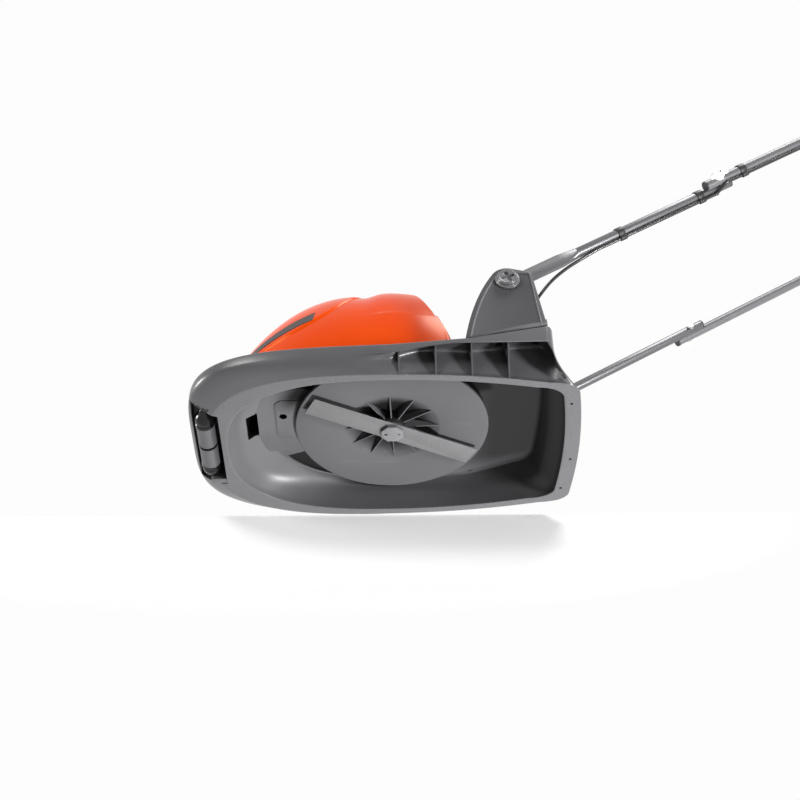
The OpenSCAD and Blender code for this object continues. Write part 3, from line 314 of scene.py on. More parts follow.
def rounded(rings, reaches, n=4):
    """Rings with the flagged ones turned into a soft corner of the given reach."""
    out = []
    for k, (ring, reach) in enumerate(zip(rings, reaches)):
        if not reach:
            out.append(ring)
            continue
        ways = []
        for other in (rings[k - 1], rings[(k + 1) % len(rings)]):
            d = other - ring
            far = np.linalg.norm(d, axis=1)[:, None]
            ways.append(ring + d * np.minimum(reach, far * 0.45) / np.maximum(far, 1e-6))
        for t in np.linspace(0, 1, n + 1):
            out.append((1 - t) ** 2 * ways[0] + 2 * t * (1 - t) * ring + t**2 * ways[1])
    return out


def face_vectors(mesh, key):
    values = np.empty(len(mesh.polygons) * 3)
    mesh.polygons.foreach_get(key, values)
    return values.reshape(-1, 3)


def face_middles(mesh):
    """The middle of each face in millimetres about the blade's axis."""
    return face_vectors(mesh, "center") * 1000 - (0.0, HUB_Y, 0.0)


def mark_faces(mesh, name, values):
    """A share for each face, which a finish reads by its name."""
    mesh.attributes.new(name, "FLOAT", "FACE").data.foreach_set("value", values)


# Materials: shared surface effects as node groups, then one finish for each kind of piece


def set_socket(tree, socket, value):
    if isinstance(value, bpy.types.NodeSocket):
        tree.links.new(value, socket)
    else:
        socket.default_value = value


def feed(tree, node, **values):
    """Links or sets the inputs that the keys name."""
    for key, value in values.items():
        set_socket(tree, node.inputs[key.replace("_", " ")], value)
    return node


def add_node(tree, kind, settings=None, **values):
    made = tree.nodes.new(kind)
    for key, value in (settings or {}).items():
        setattr(made, key, value)
    return feed(tree, made, **values)


def calc(tree, operation, a, b):
    """Two sockets or values put together by one sum."""
    node = add_node(tree, "ShaderNodeMath", {"operation": operation})
    for socket, value in zip(node.inputs, (a, b)):
        set_socket(tree, socket, value)
    return node.outputs[0]


def spread(tree, value, low, high, out_low=0.0, out_high=1.0, soft=False):
    """A value's share of one range carried over to another."""
    kind = {"interpolation_type": "SMOOTHSTEP" if soft else "LINEAR"}
    return add_node(
        tree, "ShaderNodeMapRange", kind, Value=value, From_Min=low, From_Max=high, To_Min=out_low, To_Max=out_high
    ).outputs[0]


def noise(tree, place, scale, detail, rough=0.5):
    return add_node(
        tree, "ShaderNodeTexNoise", Vector=place, Scale=scale, Detail=detail, Roughness=rough
    ).outputs["Fac"]


def own_place(tree):
    return tree.nodes.new("ShaderNodeTexCoord").outputs["Object"]


def mapped(tree, place, **values):
    return add_node(tree, "ShaderNodeMapping", Vector=place, **values).outputs[0]


def parts_of(tree, vector):
    return add_node(tree, "ShaderNodeSeparateXYZ", Vector=vector).outputs


def length_of(tree, vector):
    return add_node(tree, "ShaderNodeVectorMath", {"operation": "LENGTH"}, Vector=vector).outputs["Value"]


def blend_colours(tree, share, low, high):
    node = add_node(tree, "ShaderNodeMix", {"data_type": "RGBA"}, Factor=share)
    for key, value in (("A", low), ("B", high)):
        set_socket(tree, next(s for s in node.inputs if s.name == key and s.type == "RGBA"), value)
    return next(s for s in node.outputs if s.type == "RGBA")


def mix_shaders(tree, share, first, second):
    node = tree.nodes.new("ShaderNodeMixShader")
    for socket, value in zip(node.inputs, (share, first, second)):
        tree.links.new(value, socket)
    return node.outputs[0]


def value_group(name, **inputs):
    group = bpy.data.node_groups.new(name, "ShaderNodeTree")
    for label, default in inputs.items():
        label = label.replace("_", " ")
        group.interface.new_socket(name=label, in_out="INPUT", socket_type="NodeSocketFloat").default_value = default
    return group, group.nodes.new("NodeGroupInput").outputs


def give_out(group, **results):
    """Ends a group: each result goes out under its own name."""
    for label in results:
        group.interface.new_socket(name=label, in_out="OUTPUT", socket_type="NodeSocketFloat")
    return feed(group, group.nodes.new("NodeGroupOutput"), **results).id_data


def moulded_skin_group():
    """Fine grain, slow tone drift and scattered scuffs on moulded or coated surfaces."""
    group, given = value_group("moulded_skin", Grain_Scale=900.0, Drift_Scale=9.0, Scuff_Scale=60.0)
    place = own_place(group)
    stretch = mapped(group, place, Scale=(1.0, 0.12, 1.0), Rotation=(0.2, 0.1, 0.5))
    return give_out(
        group,
        Grain=noise(group, place, given["Grain Scale"], 3.0, 0.6),
        Drift=noise(group, place, given["Drift Scale"], 4.0, 0.55),
        Scuff=spread(group, noise(group, stretch, given["Scuff Scale"], 6.0, 0.7), 0.6, 0.78),
    )


def ground_wear_group():
    """Pale worn marks near the ground rim, by height over the ground."""
    group, given = value_group("ground_wear", Height=0.004, Amount=0.5)
    place = own_place(group)
    low = spread(group, parts_of(group, place)["Z"], given["Height"], 0.0, 0.0, given["Amount"])
    marks = noise(group, mapped(group, place, Scale=(1.0, 0.5, 1.0)), 420.0, 5.0, 0.65)
    return give_out(group, Wear=calc(group, "MULTIPLY", low, spread(group, marks, 0.48, 0.68)))


def brushed_lines_group():
    """Fine parallel marks of grinding or drawing, along the X of the turned piece."""
    group, given = value_group("brushed_lines", Turn=0.0, Fineness=900.0)
    place = own_place(group)
    turn = add_node(group, "ShaderNodeCombineXYZ", Z=given["Turn"]).outputs[0]
    flat = mapped(group, place, Location=TO_AXIS)
    along = mapped(group, flat, Rotation=turn, Scale=(0.015, 1.0, 1.0))
    return give_out(
        group, Lines=noise(group, along, given["Fineness"], 4.0), Blotch=noise(group, place, 26.0, 5.0, 0.6)
    )


def chamber_grime_group():
    """Painted shade in the chamber: darker towards the rear wall, and a painted shadow by the fan's edge on the left.
    """
    group, given = value_group("chamber_grime", Rear=0.85, Edge=0.97)
    flat = mapped(group, own_place(group), Location=TO_AXIS, Scale=(1.0, 1.0, 0.0))
    x, y, _ = parts_of(group, flat)
    rear = spread(group, y, 0.0, 0.18, 0.0, given["Rear"], True)
    rear = calc(group, "MULTIPLY", rear, spread(group, x, -0.165, -0.11, 0.3, 1.0, True))
    edge = spread(group, length_of(group, flat), 0.215, 0.172, 0.0, given["Edge"], True)
    edge = calc(group, "MULTIPLY", edge, spread(group, x, 0.02, 0.07, soft=True))
    return give_out(group, Grime=calc(group, "MAXIMUM", rear, edge))


SKIN, WEAR, BRUSH, CHAMBER_SHADE = moulded_skin_group(), ground_wear_group(), brushed_lines_group(), chamber_grime_group()


def start_material(name):
    material = bpy.data.materials.new(name + "_finish")
    material.use_nodes = True
    return material, material.node_tree, material.node_tree.nodes["Principled BSDF"]


def grouped(tree, group, **values):
    return add_node(tree, "ShaderNodeGroup", {"node_tree": group}, **values).outputs


def marked(tree, name):
    return add_node(tree, "ShaderNodeAttribute", {"attribute_name": name}).outputs["Fac"]


def bumped(tree, height, strength, distance):
    return add_node(tree, "ShaderNodeBump", Strength=strength, Distance=distance, Height=height).outputs[0]


def moulded(
    name, dark, light, rough, grain=900.0, depth=0.12, scuff=0.25, wear=0.0, metallic=0.0, level=0.5,
    tint=(255, 255, 255), dirt=False, grime=False, painted_ridge_highlight=False, low_tone=None,
):
    """A moulded or coated surface: tone drift, grain and scuffs between two close colours, ground wear, and painted
    shade, highlight or sheen where asked.
    """
    material, tree, shader = start_material(name)

    def paler(gain, lift):
        return srgb(*[min(255, v * gain + lift) for v in light])

    skin = grouped(tree, SKIN, Grain_Scale=grain)
    rub = calc(tree, "MULTIPLY", skin["Scuff"], scuff)
    gloss = spread(tree, calc(tree, "ADD", skin["Drift"], rub), 0.25, 1.0, *rough)
    colour = blend_colours(tree, skin["Drift"], srgb(*dark), srgb(*light))
    colour = blend_colours(tree, rub, colour, paler(1.25, 14))
    if wear:
        colour = blend_colours(tree, grouped(tree, WEAR, Amount=wear)["Wear"], colour, paler(1.5, 20))
    # Painted shade: faces marked as recesses go near black
    if dirt:
        colour = blend_colours(tree, marked(tree, "recess"), colour, srgb(9, 9, 9))
    # Painted shade: chamber faces go dark towards the rear wall and by the fan's edge, and turn rougher there
    if grime:
        chamber_shade_share = calc(tree, "MULTIPLY", grouped(tree, CHAMBER_SHADE)["Grime"], marked(tree, "chamber"))
        colour = blend_colours(tree, chamber_shade_share, colour, srgb(13, 13, 13))
        gloss = calc(tree, "MAXIMUM", gloss, chamber_shade_share)
    # Painted highlight: ridge faces are drawn paler
    if painted_ridge_highlight:
        colour = blend_colours(tree, marked(tree, "ridge"), colour, paler(1.9, 0))
    # Painted sheen: the surface turns paler towards its lower end
    if low_tone:
        share = spread(tree, parts_of(tree, own_place(tree))["Z"], 0.14, 0.07)
        colour = blend_colours(tree, share, colour, srgb(*low_tone))
    feed(
        tree, shader, Base_Color=colour, Roughness=gloss, Normal=bumped(tree, skin["Grain"], depth, 0.0004),
        Metallic=metallic, Specular_IOR_Level=level, Specular_Tint=srgb(*tint),
    )
    return material


def brushed(name, dark, light, rough, turn=0.0, metallic=1.0):
    """Bare or thinly coated metal with drawn marks and dull patches."""
    material, tree, shader = start_material(name)
    marks = grouped(tree, BRUSH, Turn=turn)
    share = spread(tree, calc(tree, "MULTIPLY", marks["Lines"], marks["Blotch"]), 0.12, 0.42)
    feed(
        tree, shader, Base_Color=blend_colours(tree, share, srgb(*dark), srgb(*light)),
        Roughness=spread(tree, marks["Blotch"], 0.3, 0.7, *rough), Normal=bumped(tree, marks["Lines"], 0.03, 0.0002),
        Metallic=metallic,
    )
    return material


def grey(level):
    """A plastic grey with a trace of blue."""
    return level, level, level + 2


# Painted light: the deck, fan and roller draw their recesses dark as shade, the deck also its chamber, the bracket its
# ridges paler as highlight and the vent its lower end paler as sheen
MOULDED = {
    "deck_grey": (
        grey(76), grey(85), (0.28, 0.38),
        dict(depth=0.05, scuff=0.04, wear=0.08, level=0.4, dirt=True, grime=True),
    ),
    "bracket_grey": (grey(60), grey(68), (0.4, 0.52), dict(level=0.3, painted_ridge_highlight=True)),
    "hood_orange": (
        (217, 62, 2), (225, 74, 3), (0.2, 0.28),
        dict(grain=260.0, depth=0.015, scuff=0.04, level=0.25, tint=(255, 150, 60)),
    ),
    "vent_grey": ((60, 55, 55), (76, 69, 68), (0.5, 0.65), dict(level=0.3, low_tone=(168, 166, 166))),
    "fan_grey": (grey(70), grey(78), (0.5, 0.62), dict(depth=0.1, level=0.25, dirt=True)),
    "bolt_grey": (grey(92), grey(106), (0.4, 0.55), dict(depth=0.1, level=0.3)),
    "knob_grey": (grey(88), grey(106), (0.24, 0.36), {}),
    "knob_ivory": ((222, 220, 215), (236, 234, 230), (0.3, 0.42), dict(depth=0.05, level=0.3)),
    "black_plastic": ((34, 34, 35), grey(44), (0.4, 0.55), dict(level=0.3)),
    "roller_grey": (grey(68), grey(80), (0.3, 0.44), dict(depth=0.1, scuff=0.2, level=0.35, dirt=True)),
    "cap_black": ((10, 10, 10), (16, 16, 17), (0.12, 0.2), dict(depth=0.02, scuff=0.1, level=0.3)),
    "switch_orange": ((224, 68, 6), (232, 78, 10), (0.25, 0.36), dict(depth=0.03, level=0.4, tint=(255, 150, 60))),
    "lead_black": ((24, 24, 25), (34, 34, 35), (0.2, 0.3), dict(grain=1500.0, level=0.6)),
    "tube_dark": ((84, 84, 87), grey(98), (0.3, 0.42), dict(grain=1400.0, depth=0.1, level=0.4)),
    "tube_silver": (
        grey(92), grey(106), (0.34, 0.44), dict(grain=300.0, depth=0.01, scuff=0.08, metallic=0.7)
    ),
}
BRUSHED = {
    "blade_steel": (
        (108, 108, 109), (116, 116, 117), (0.45, 0.58), dict(turn=BLADE_TURN + math.pi / 2, metallic=0.5)
    ),
    "fastener_steel": ((130, 130, 130), (180, 180, 178), (0.25, 0.4), {}),
    "motor_steel": (grey(120), grey(150), (0.35, 0.5), {}),
    "motor_brass": ((160, 100, 52), (186, 124, 74), (0.3, 0.45), {}),
}
FINISHES = {
    name: make(name, *look, **extra)
    for make, table in ((moulded, MOULDED), (brushed, BRUSHED))
    for name, (*look, extra) in table.items()
}


def dress_nodes():
    """Every node of the frame takes the finish of its record slot."""
    for part in frame["record"]["subparts"]:
        for place in frame["nodes"][part["node"]].material_slots:
            place.link = "OBJECT"
            place.material = FINISHES[part["material_slot"]]


dress_nodes()


# Switch lead: a free stretch from the hood's gland, then along the left tube to the switch box

LEAD_ROUTE = [
    (70, 150, 140), (71, 166, 142), (78, 186, 150), (92, 206, 166), (112, 226, 186), (134, 246, 206),
    (154, 268, 224), (168, 292, 238), (176, 316, 251),
    *(handle_point(TUBE_X, y, LEAD_DROP) for y in (LEAD_START - 16, LEAD_START)),
]


def lead_mesh(name, path):
    return name, tube_mesh(name, path, LEAD_R), "lead_black"


def under_handle(places):
    """Places (x, y) of the handle carried down to the lead's line under its tubes."""
    return [handle_point(x, y, LEAD_DROP) for x, y in places]


def make_lead():
    free = smooth_path(LEAD_ROUTE, 90)
    piece = add_piece(*lead_mesh("switch_lead_free", free), 60)
    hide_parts("lead_free")
    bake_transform(piece)

    low = under_handle((TUBE_X, y) for y in np.linspace(LEAD_START, FOLD_LEN - LEAD_JOINT, 24))
    fit_piece(*lead_mesh("switch_lead_lower", low), "lead_lower", 60)

    cross = under_handle(
        (mix(TUBE_X, LEG_X, float(ease((k - 0.07) / 0.86))), FOLD_LEN + (2 * k - 1) * LEAD_JOINT)
        for k in np.linspace(0, 1, 30)
    )
    piece = add_piece(*lead_mesh("switch_lead_bend", cross), 60)
    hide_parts("lead_bend")
    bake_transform(piece)

    bend_x, bend_y = LEG_X - BEND_R, GRIP_LEN - BEND_R
    high = [(LEG_X, y) for y in np.linspace(FOLD_LEN + LEAD_JOINT, bend_y, 40)]
    high += arc_line((bend_x, bend_y), BEND_R, 3, 90, 30)
    high += [(x, GRIP_LEN) for x in np.linspace(bend_x - 6, BOX_W / 2 - 8, 12)]
    fit_piece(*lead_mesh("switch_lead_upper", under_handle(high)), "lead_upper", 60)


make_lead()


# Outlines and heights shared by the deck and the hood

STEPS = np.concatenate([
    NOSE_STEPS * (1 - np.cos(np.pi * np.linspace(0, 1, 73))) / 2,
    NOSE_STEPS + SIDE_STEPS * np.linspace(0, 1, 46)[1:],
    NOSE_STEPS + SIDE_STEPS + CORNER_STEPS * np.linspace(0, 1, 29)[1:],
    HALF_STEPS - TAIL_STEPS + TAIL_STEPS * np.linspace(0, 1, 21)[1:],
])


def outline(w, front, rear, tail, power, shares=SIDE_SHARES):
    """Half a plan outline: a rounded nose, a drawn-in side, a round corner and a bowed tail."""
    i = STEPS[:, None]
    ends = np.cumsum([0, NOSE_STEPS, SIDE_STEPS, CORNER_STEPS, TAIL_STEPS])
    a, t, b, u = (np.clip((STEPS - low) / (high - low), 0, 1) for low, high in zip(ends, ends[1:]))
    a, b = np.radians(90) * a, np.radians(90) * b
    side_y, corner_y = rear * shares[0], rear * shares[2]
    nose = np.stack([w * np.sin(a) ** (2 / power), -front * np.cos(a) ** (2 / power)], 1)
    side = np.stack([w * (1 - (1 - tail) * t * t), side_y * t], 1)
    corner = np.stack([w * mix(shares[1], tail, np.cos(b)), mix(side_y, corner_y, np.sin(b))], 1)
    back = np.stack([w * shares[1] * (1 - u), mix(corner_y, rear, 1 - (1 - u) ** 2)], 1)
    line = np.where(i <= ends[1], nose, np.where(i <= ends[2], side, np.where(i <= ends[3], corner, back)))
    line[0, 0] = line[-1, 0] = 0.0
    return line


def at_height(line, z):
    return np.column_stack([line, np.broadcast_to(np.asarray(z, float), len(line))])


def top_z(y):
    slope = (TAIL_Z - SEAT_Z) / (FOOT_REAR - FOOT_FRONT)
    return np.where(y < FOOT_FRONT, SEAT_Z, np.minimum(SEAT_Z + (y - FOOT_FRONT) * slope, TAIL_Z + 2.0))


def lip_top(y):
    near = np.where(y < 0, mix(LIP_TOP, LIP_TOP_NOSE, -y / NOSE_Y), mix(LIP_TOP, SEAT_Z, y / FOOT_FRONT))
    return np.where(y < FOOT_FRONT, near, top_z(y))


def lip_low(y):
    behind = mix(LIP_LOW, LIP_LOW_REAR, ease(y / (FOOT_FRONT - 10.0)))
    return np.where(y < 0, mix(LIP_LOW, LIP_LOW_NOSE, -y / NOSE_Y), behind)


def lip_line(inset):
    return outline(LIP_X - inset, NOSE_Y - inset, LIP_REAR - inset / 2, 1.0, 4.0, LIP_SHARES)


def rim_line(share):
    return outline(RIM_X * share, RIM_FRONT * share, RIM_REAR * (1 + share) / 2, RIM_TAPER, 3.0)


def chamber_line(side, nose, tail, power):
    """The chamber's outline, drawn in from its foot at the sides, the nose and the tail."""
    return outline(
        RIM_X - RIM_SIDE - side, RIM_FRONT - RIM_NOSE - nose, RIM_REAR - RIM_TAIL - tail, RIM_TAPER, power
    )


def hood_line(inset):
    return outline(HOOD_X - inset, HOOD_FRONT - inset, HOOD_REAR - inset, HOOD_TAPER, HOOD_POWER)


# Deck: one moulding with seat, lip, bumper, rim and cutting chamber


def deck_wall():
    """The outer wall from the lip down to the ground rim, and its foot."""
    lip, rim = lip_line(0), rim_line(1.0)
    low = lip_low(lip[:, 1])
    plate = top_z(lip[:, 1]) - 4.0
    lip_bottom = at_height(lip, low)
    foot = at_height(rim, 0.0)

    # Under the lip at the sides the wall stands back; at the nose and tail the bumper swells out to the lip
    cut = rounded(
        [
            lip_bottom, at_height(lip_line(3.0), low), at_height(lip_line(3.5), plate),
            at_height(rim_line(0.93), plate), at_height(rim_line(0.955), 10.0), foot,
        ],
        [0, 1.2, 4, 8, 5, 0],
    )
    nose_path, tail_path = (smooth_path(places, len(cut)) for places in (
        [(1, 0), (0.85, 0.04), (0.62, 0.18), (0.36, 0.45), (0.14, 0.78), (0, 1)],
        [(1, 0), (0.8, 0.02), (0.56, 0.1), (0.33, 0.3), (0.16, 0.62), (0.05, 0.9), (0, 1)],
    ))
    back = STEPS - NOSE_STEPS - SIDE_STEPS
    under = np.where(back <= 0, ease((rim[:, 1] + 45.0) / 110.0), 1 - ease(2 * back / CORNER_STEPS))[:, None]
    at_tail = (back > 0)[:, None]
    wall = []
    for nose, tail, inner in zip(nose_path, tail_path, cut):
        z, s = (np.where(at_tail, tail[k], nose[k]) for k in range(2))
        bulge = mix(lip_bottom, foot, s) * (1, 1, 0) + (lip_bottom * z) * (0, 0, 1)
        wall.append(mix(bulge, inner, under))
    return wall, foot


def deck_skin():
    lip = lip_line(0)
    inner = outline(LIP_X - 24, NOSE_Y - 30, LIP_REAR - 6, 1.0, 4.0, LIP_SHARES)
    wall, foot = deck_wall()
    chamber = []
    for z, *inset in (
        (0, 0, 0, 0, 2.6), (12, 1, 6, 4, 2.6), (34, 3, 18, 20, 2.5), (49, 4, 34, 26, 2.35), (None, 8, 54, 32, 2.25)
    ):
        line = chamber_line(*inset)
        chamber.append(at_height(line, np.maximum(ROOF_Z, top_z(line[:, 1]) - 5.0) if z is None else z))
    curve = smooth_path(np.stack(chamber).reshape(5, -1), 22).reshape(22, -1, 3)
    ring = outline(1.0, 1.0, 1.0, 1.0, 2.0)
    ring = INLET_R * ring / np.linalg.norm(ring, axis=1)[:, None]
    rings = [
        at_height(ring, SEAT_Z), at_height(hood_line(-4.0), SEAT_Z), at_height(inner, top_z(inner[:, 1])),
        at_height(lip, lip_top(lip[:, 1])), *wall[:-1], foot, *list(curve),
        at_height(outline(HOOD_X - 34, 196.0, HOOD_REAR - 34, HOOD_TAPER, HOOD_POWER), ROOF_Z), at_height(ring, ROOF_Z),
    ]
    reaches = [0] * len(rings)
    reaches[2], reaches[3], reaches[3 + len(wall)] = 8.0, 4.0, 3.0
    reaches[4 + len(wall)], reaches[-3] = 4.0, 20.0
    return loft("deck", rounded(rings, reaches, 5), True)


def gusset_ribs():
    """Thin ribs that tie the side lip to the wall."""
    ribs = []
    for y in (13.0, 71.0, 128.0, 186.0):
        half = RIM_X * (1 - (1 - RIM_TAPER) * (y / (RIM_REAR * SIDE_SHARES[0])) ** 2)
        top, low = float(top_z(y)) - 3.0, float(lip_low(y))
        line = [(half - 10, 2), (half - 3, 2), (LIP_X - 3, low), (LIP_X - 3, float(lip_top(y)) - 3), (half - 10, top)]
        for side in (1, -1):
            ribs.append(prism("rib", [(side * x, z) for x, z in line], y - 1.25, y + 1.25, "Y"))
    return ribs


def channel_cut(places):
    """The channel beside the fan's edge, as a cutter: outer places, then back along the fan."""
    line = [tuple(q) for q in smooth_path(places, 24)]
    turns = [math.degrees(math.atan2(y, x)) for x, y in (line[-1], line[0])]
    return prism("channel", line + arc_line((0, 0), CHANNEL_R, *turns, 16), 20, CHANNEL_Z)


CHANNELS = (
    [(-92, -180), (-108, -166), (-127, -142), (-142, -112), (-152, -83), (-157, -50), (-158, -10)],
    [(158, -10), (158, -50), (152, -84), (138, -112), (116, -140), (88, -158)],
)
BRACKET_HOLES = [(side * (LIP_X - 15), y) for side in (1, -1) for y in (172.0, 231.0)]


def roof_holes(slot_top):
    """The slot and the boss hole in the chamber's roof, as cutters."""
    slot = prism("slot", rounded_box_line(-27.5, -241, 27.5, -223, 1.5), 20, slot_top)
    return [slot, prism("boss_hole", circle_line(21, -180, 6.5), 40, 80)]


def chamber_pads():
    """Raised pads of the chamber's roof, a closed box over the slot whose faces are painted dark as the shade inside
    it, and the block in the roller pocket's end.
    """
    holes = joined("holes", roof_holes(97))
    panel = broken(prism("panel", rounded_box_line(-74, -252, 90, -120, 30, 12), 55.4, 58), 1.2)
    boss = broken(prism("boss", rounded_box_line(-39, -193, 61, -120, 16, 10), 53.4, 58), 1.4)
    # Painted shade: this box stands in for the dark inside of the slot
    slot_shade_box = prism("slot_shade_box", rounded_box_line(-30, -244, 30, -220, 3), 60, 99)
    block = broken(prism("pocket_block", rounded_box_line(-91, -305, -78, -278, 2), 1.5, 26), 1.0)
    return [*(carve(pad, holes) for pad in (panel, boss, slot_shade_box)), block]


def deck_cuts():
    cuts = [
        prism("pocket", [(-90, -324), (-90, -279), (88, -279), (101, -324)], -2, 42),
        *roof_holes(80), *(channel_cut(places) for places in CHANNELS),
    ]
    for x, y in ((105, 287), (-38.5, 294.8), (-118, 284)):
        cuts.append(prism("rim_hole", circle_line(x, y, 2.6, 24), -2, 12))
    for x, y in BRACKET_HOLES:
        top = float(top_z(y))
        cuts.append(prism("bracket_hole", circle_line(x, y, 2.8, 24), top - 9, top - 1.5))
    return cuts


def shade_recesses(mesh):
    """Marks the chamber's faces, which take painted shade, and the faces painted dark as shade in the roller pocket,
    the slot, the holes and the channels.
    """
    boxes = [
        ((-77.5, -322, 4), (101, -279, 43)), ((-27.6, -241.1, 20), (27.6, -222.9, 100)),
        ((14, -187, 54), (28, -173, 70)),
    ]
    for x, y in BRACKET_HOLES:
        top = float(top_z(y))
        boxes.append(((x - 3, y - 3, top - 9), (x + 3, y + 3, top - 1)))
    middles, facing = face_middles(mesh), face_vectors(mesh, "normal")
    line = chamber_line(0, 0, 0, 2.6)
    inside = np.abs(middles[:, 0]) < np.interp(middles[:, 1], line[:, 1], line[:, 0], 0, 0) + 0.5
    inside &= (facing[:, 2] < 0.05) & (middles[:, 2] > 1.5)
    # The chamber's faces take the painted chamber shade
    mark_faces(mesh, "chamber", inside.astype(float))
    # Painted shade: faces inside these boxes and the channels' roofs are drawn near black
    deep = np.zeros(len(middles), bool)
    for low, high in boxes:
        deep |= np.all((middles > np.array(low) - 0.2) & (middles < np.array(high) + 0.2), axis=1)
    reach = np.linalg.norm(middles[:, :2], axis=1)
    deep |= (np.abs(middles[:, 2] - CHANNEL_Z) < 0.1) & (reach > 145) & (reach < 205)
    mark_faces(mesh, "recess", deep.astype(float) * 0.93)


def make_deck():
    skin = carve(deck_skin(), joined("deck_cuts", deck_cuts()))
    mesh = joined("deck_moulding", [skin, *gusset_ribs(), *chamber_pads()])
    shade_recesses(mesh)
    fit_piece("deck_moulding", mesh, "deck_grey", "deck", 32)


make_deck()


# Hood: three zones parted by a ledge and by the edge of a raised front band, with a cut-off back

NOSE_SHARE = STEPS / NOSE_STEPS
HOOD_POWERS = np.where(
    NOSE_SHARE <= 1, mix(1.4, 2.33, ease(NOSE_SHARE)), mix(2.33, 2.0, (STEPS - NOSE_STEPS) / (HALF_STEPS - NOSE_STEPS))
)
BAND_SHARE = np.minimum(1, NOSE_SHARE / 0.906)
BAND_TURNS, BAND_EDGE = 3 + 25 * BAND_SHARE + 30 * BAND_SHARE**10, 1.5


def crown_h(y):
    drop = 19.0 * (1 - ease((y - CROWN_FRONT) / (CROWN_REAR - CROWN_FRONT)))
    return HOOD_H - drop - 7.0 * np.exp(-(((y + 40.0) / 18.0) ** 2))


def hood_ring(zone, share, inset):
    """One level of the hood: zone 0 is the skirt, 1 the flank under the band, 2 the band and crown."""
    band = BAND_TURNS
    ledge = np.minimum(25.0, 0.55 * band)
    turns = (ledge * share, mix(ledge + BAND_EDGE, band, share), mix(band + BAND_EDGE, 90.0, share))
    turn = np.radians(turns[zone])
    b = hood_line(inset)
    y = np.clip(b[:, 1], CROWN_FRONT, CROWN_REAR)
    up = np.zeros(len(b))
    if zone == 2:
        up += 3.0 * (1 - ease((b[:, 1] + 62.0) / 22.0)) * ease(NOSE_SHARE / 0.2)
    if zone > 0:
        up -= 6.0 * ease((b[:, 1] + 40.0) / 70.0)
    p = 2 / HOOD_POWERS
    cos, sin = np.clip(np.cos(turn), 0, 1), np.clip(np.sin(turn), 0, 1)
    c, v = cos**p, sin**p
    way = np.column_stack([b[:, 0], b[:, 1] - y])
    way /= np.maximum(np.linalg.norm(way, axis=1), 1e-9)[:, None]
    z = SEAT_Z + (crown_h(y) - inset) * v + up * sin

    # The leaning flat back cuts the form off with a soft edge
    back = HOOD_BACK_Y + (HOOD_BACK_Z - z) / HOOD_BACK_LEAN - inset
    free = mix(y, b[:, 1], c) + way[:, 1] * up * cos
    h = np.maximum(HOOD_BACK_SOFT - np.abs(free - back), 0.0) / HOOD_BACK_SOFT
    along = np.minimum(free, back) - h * h * HOOD_BACK_SOFT / 4
    x = b[:, 0] * c + way[:, 0] * up * cos
    x[0] = x[-1] = 0.0
    return np.column_stack([x, along, z])


def hood_skin():
    outside, reaches = [], []
    for zone, count, power in ((2, 44, 1.15), (1, 14, 1.0), (0, 12, 1.0)):
        outside += [hood_ring(zone, s, 0) for s in 1 - np.linspace(0, 1, count) ** power]
        reaches += [1.6, *[0.0] * (count - 2), 1.6]
    reaches[0] = reaches[-1] = 0.0
    outside = rounded(outside, reaches, 3)
    foot = [
        at_height(hood_line(inset), SEAT_Z + lift) for inset, lift in ((12.0, 0), (12.0, 3), (HOOD_WALL, 3))
    ]
    inside = [hood_ring(z, s, HOOD_WALL) for z, s in ((0, 0.6), (0, 1), (1, 0), (1, 1))]
    inside += [hood_ring(2, s, HOOD_WALL) for s in np.linspace(0, 1, 16)]
    return loft("hood", outside + foot + inside, False)


def hood_at(step, turn, inset):
    """A point of the band's surface at one outline step and turn."""
    start = np.interp(step, STEPS, BAND_TURNS) + BAND_EDGE
    ring = hood_ring(2, (turn - start) / (90.0 - start), inset)
    return np.array([np.interp(step, STEPS, ring[:, k]) for k in range(3)])


def vent_strip(name, gap, proud, inset):
    rings = []
    for t in np.linspace(0, 1, 31):
        step = NOSE_STEPS * mix(0.26, 0.72, t)
        low, high = mix(13.4, 27.6, t) - gap, mix(18.2, 34.4, t) + gap
        corners = ((low, -proud), (high, -proud), (high, inset), (low, inset))
        rings.append([hood_at(step, turn, depth) for turn, depth in corners])
    return ring_skin(name, rings)


def make_hood():
    cut = vent_strip("vent_cut", 0.25, 2.0, HOOD_WALL + 2)
    gland = prism("gland_cut", circle_line(70, 140, 7.1), 60, 150, "Y")
    skin = carve(hood_skin(), joined("hood_cuts", [cut, mirrored(cut), gland]))
    fit_piece("hood_cover", skin, "hood_orange", "hood", 28)
    fit_pair("hood_vent_{}", vent_strip("vent", 0.0, 0.8, HOOD_WALL), "vent_grey", "vent_{}")


make_hood()


# Handle brackets and their pivot knobs


def bracket_line(inset, lift):
    """The bracket's outline drawn in by an inset, its foot raised by a lift."""
    front, rear = (
        np.array([y + s * inset, float(top_z(y)) - 0.8 + lift]) for y, s in ((FOOT_FRONT - 5, 1), (FOOT_REAR, -1))
    )
    head = arc_line((PIVOT_Y, PIVOT_Z), 28.0 - inset, 150, 75, 20)
    swell = np.array([mix(FOOT_FRONT, FOOT_REAR, 0.08) + inset, mix(SEAT_Z, PIVOT_Z, 0.7)])
    bow = [mix(mix(front, swell, t), mix(swell, head[0], t), t) for t in np.linspace(0, 1, 24)]
    shoulder = arc_line((FOOT_REAR - 27.0, PIVOT_Z + 10.0), 10.0 - inset / 2, 75, 8, 12)
    down = [mix(shoulder[-1], rear, t) for t in np.linspace(0, 1, 16)[1:]]
    return np.array(bow + head[1:] + shoulder + down)


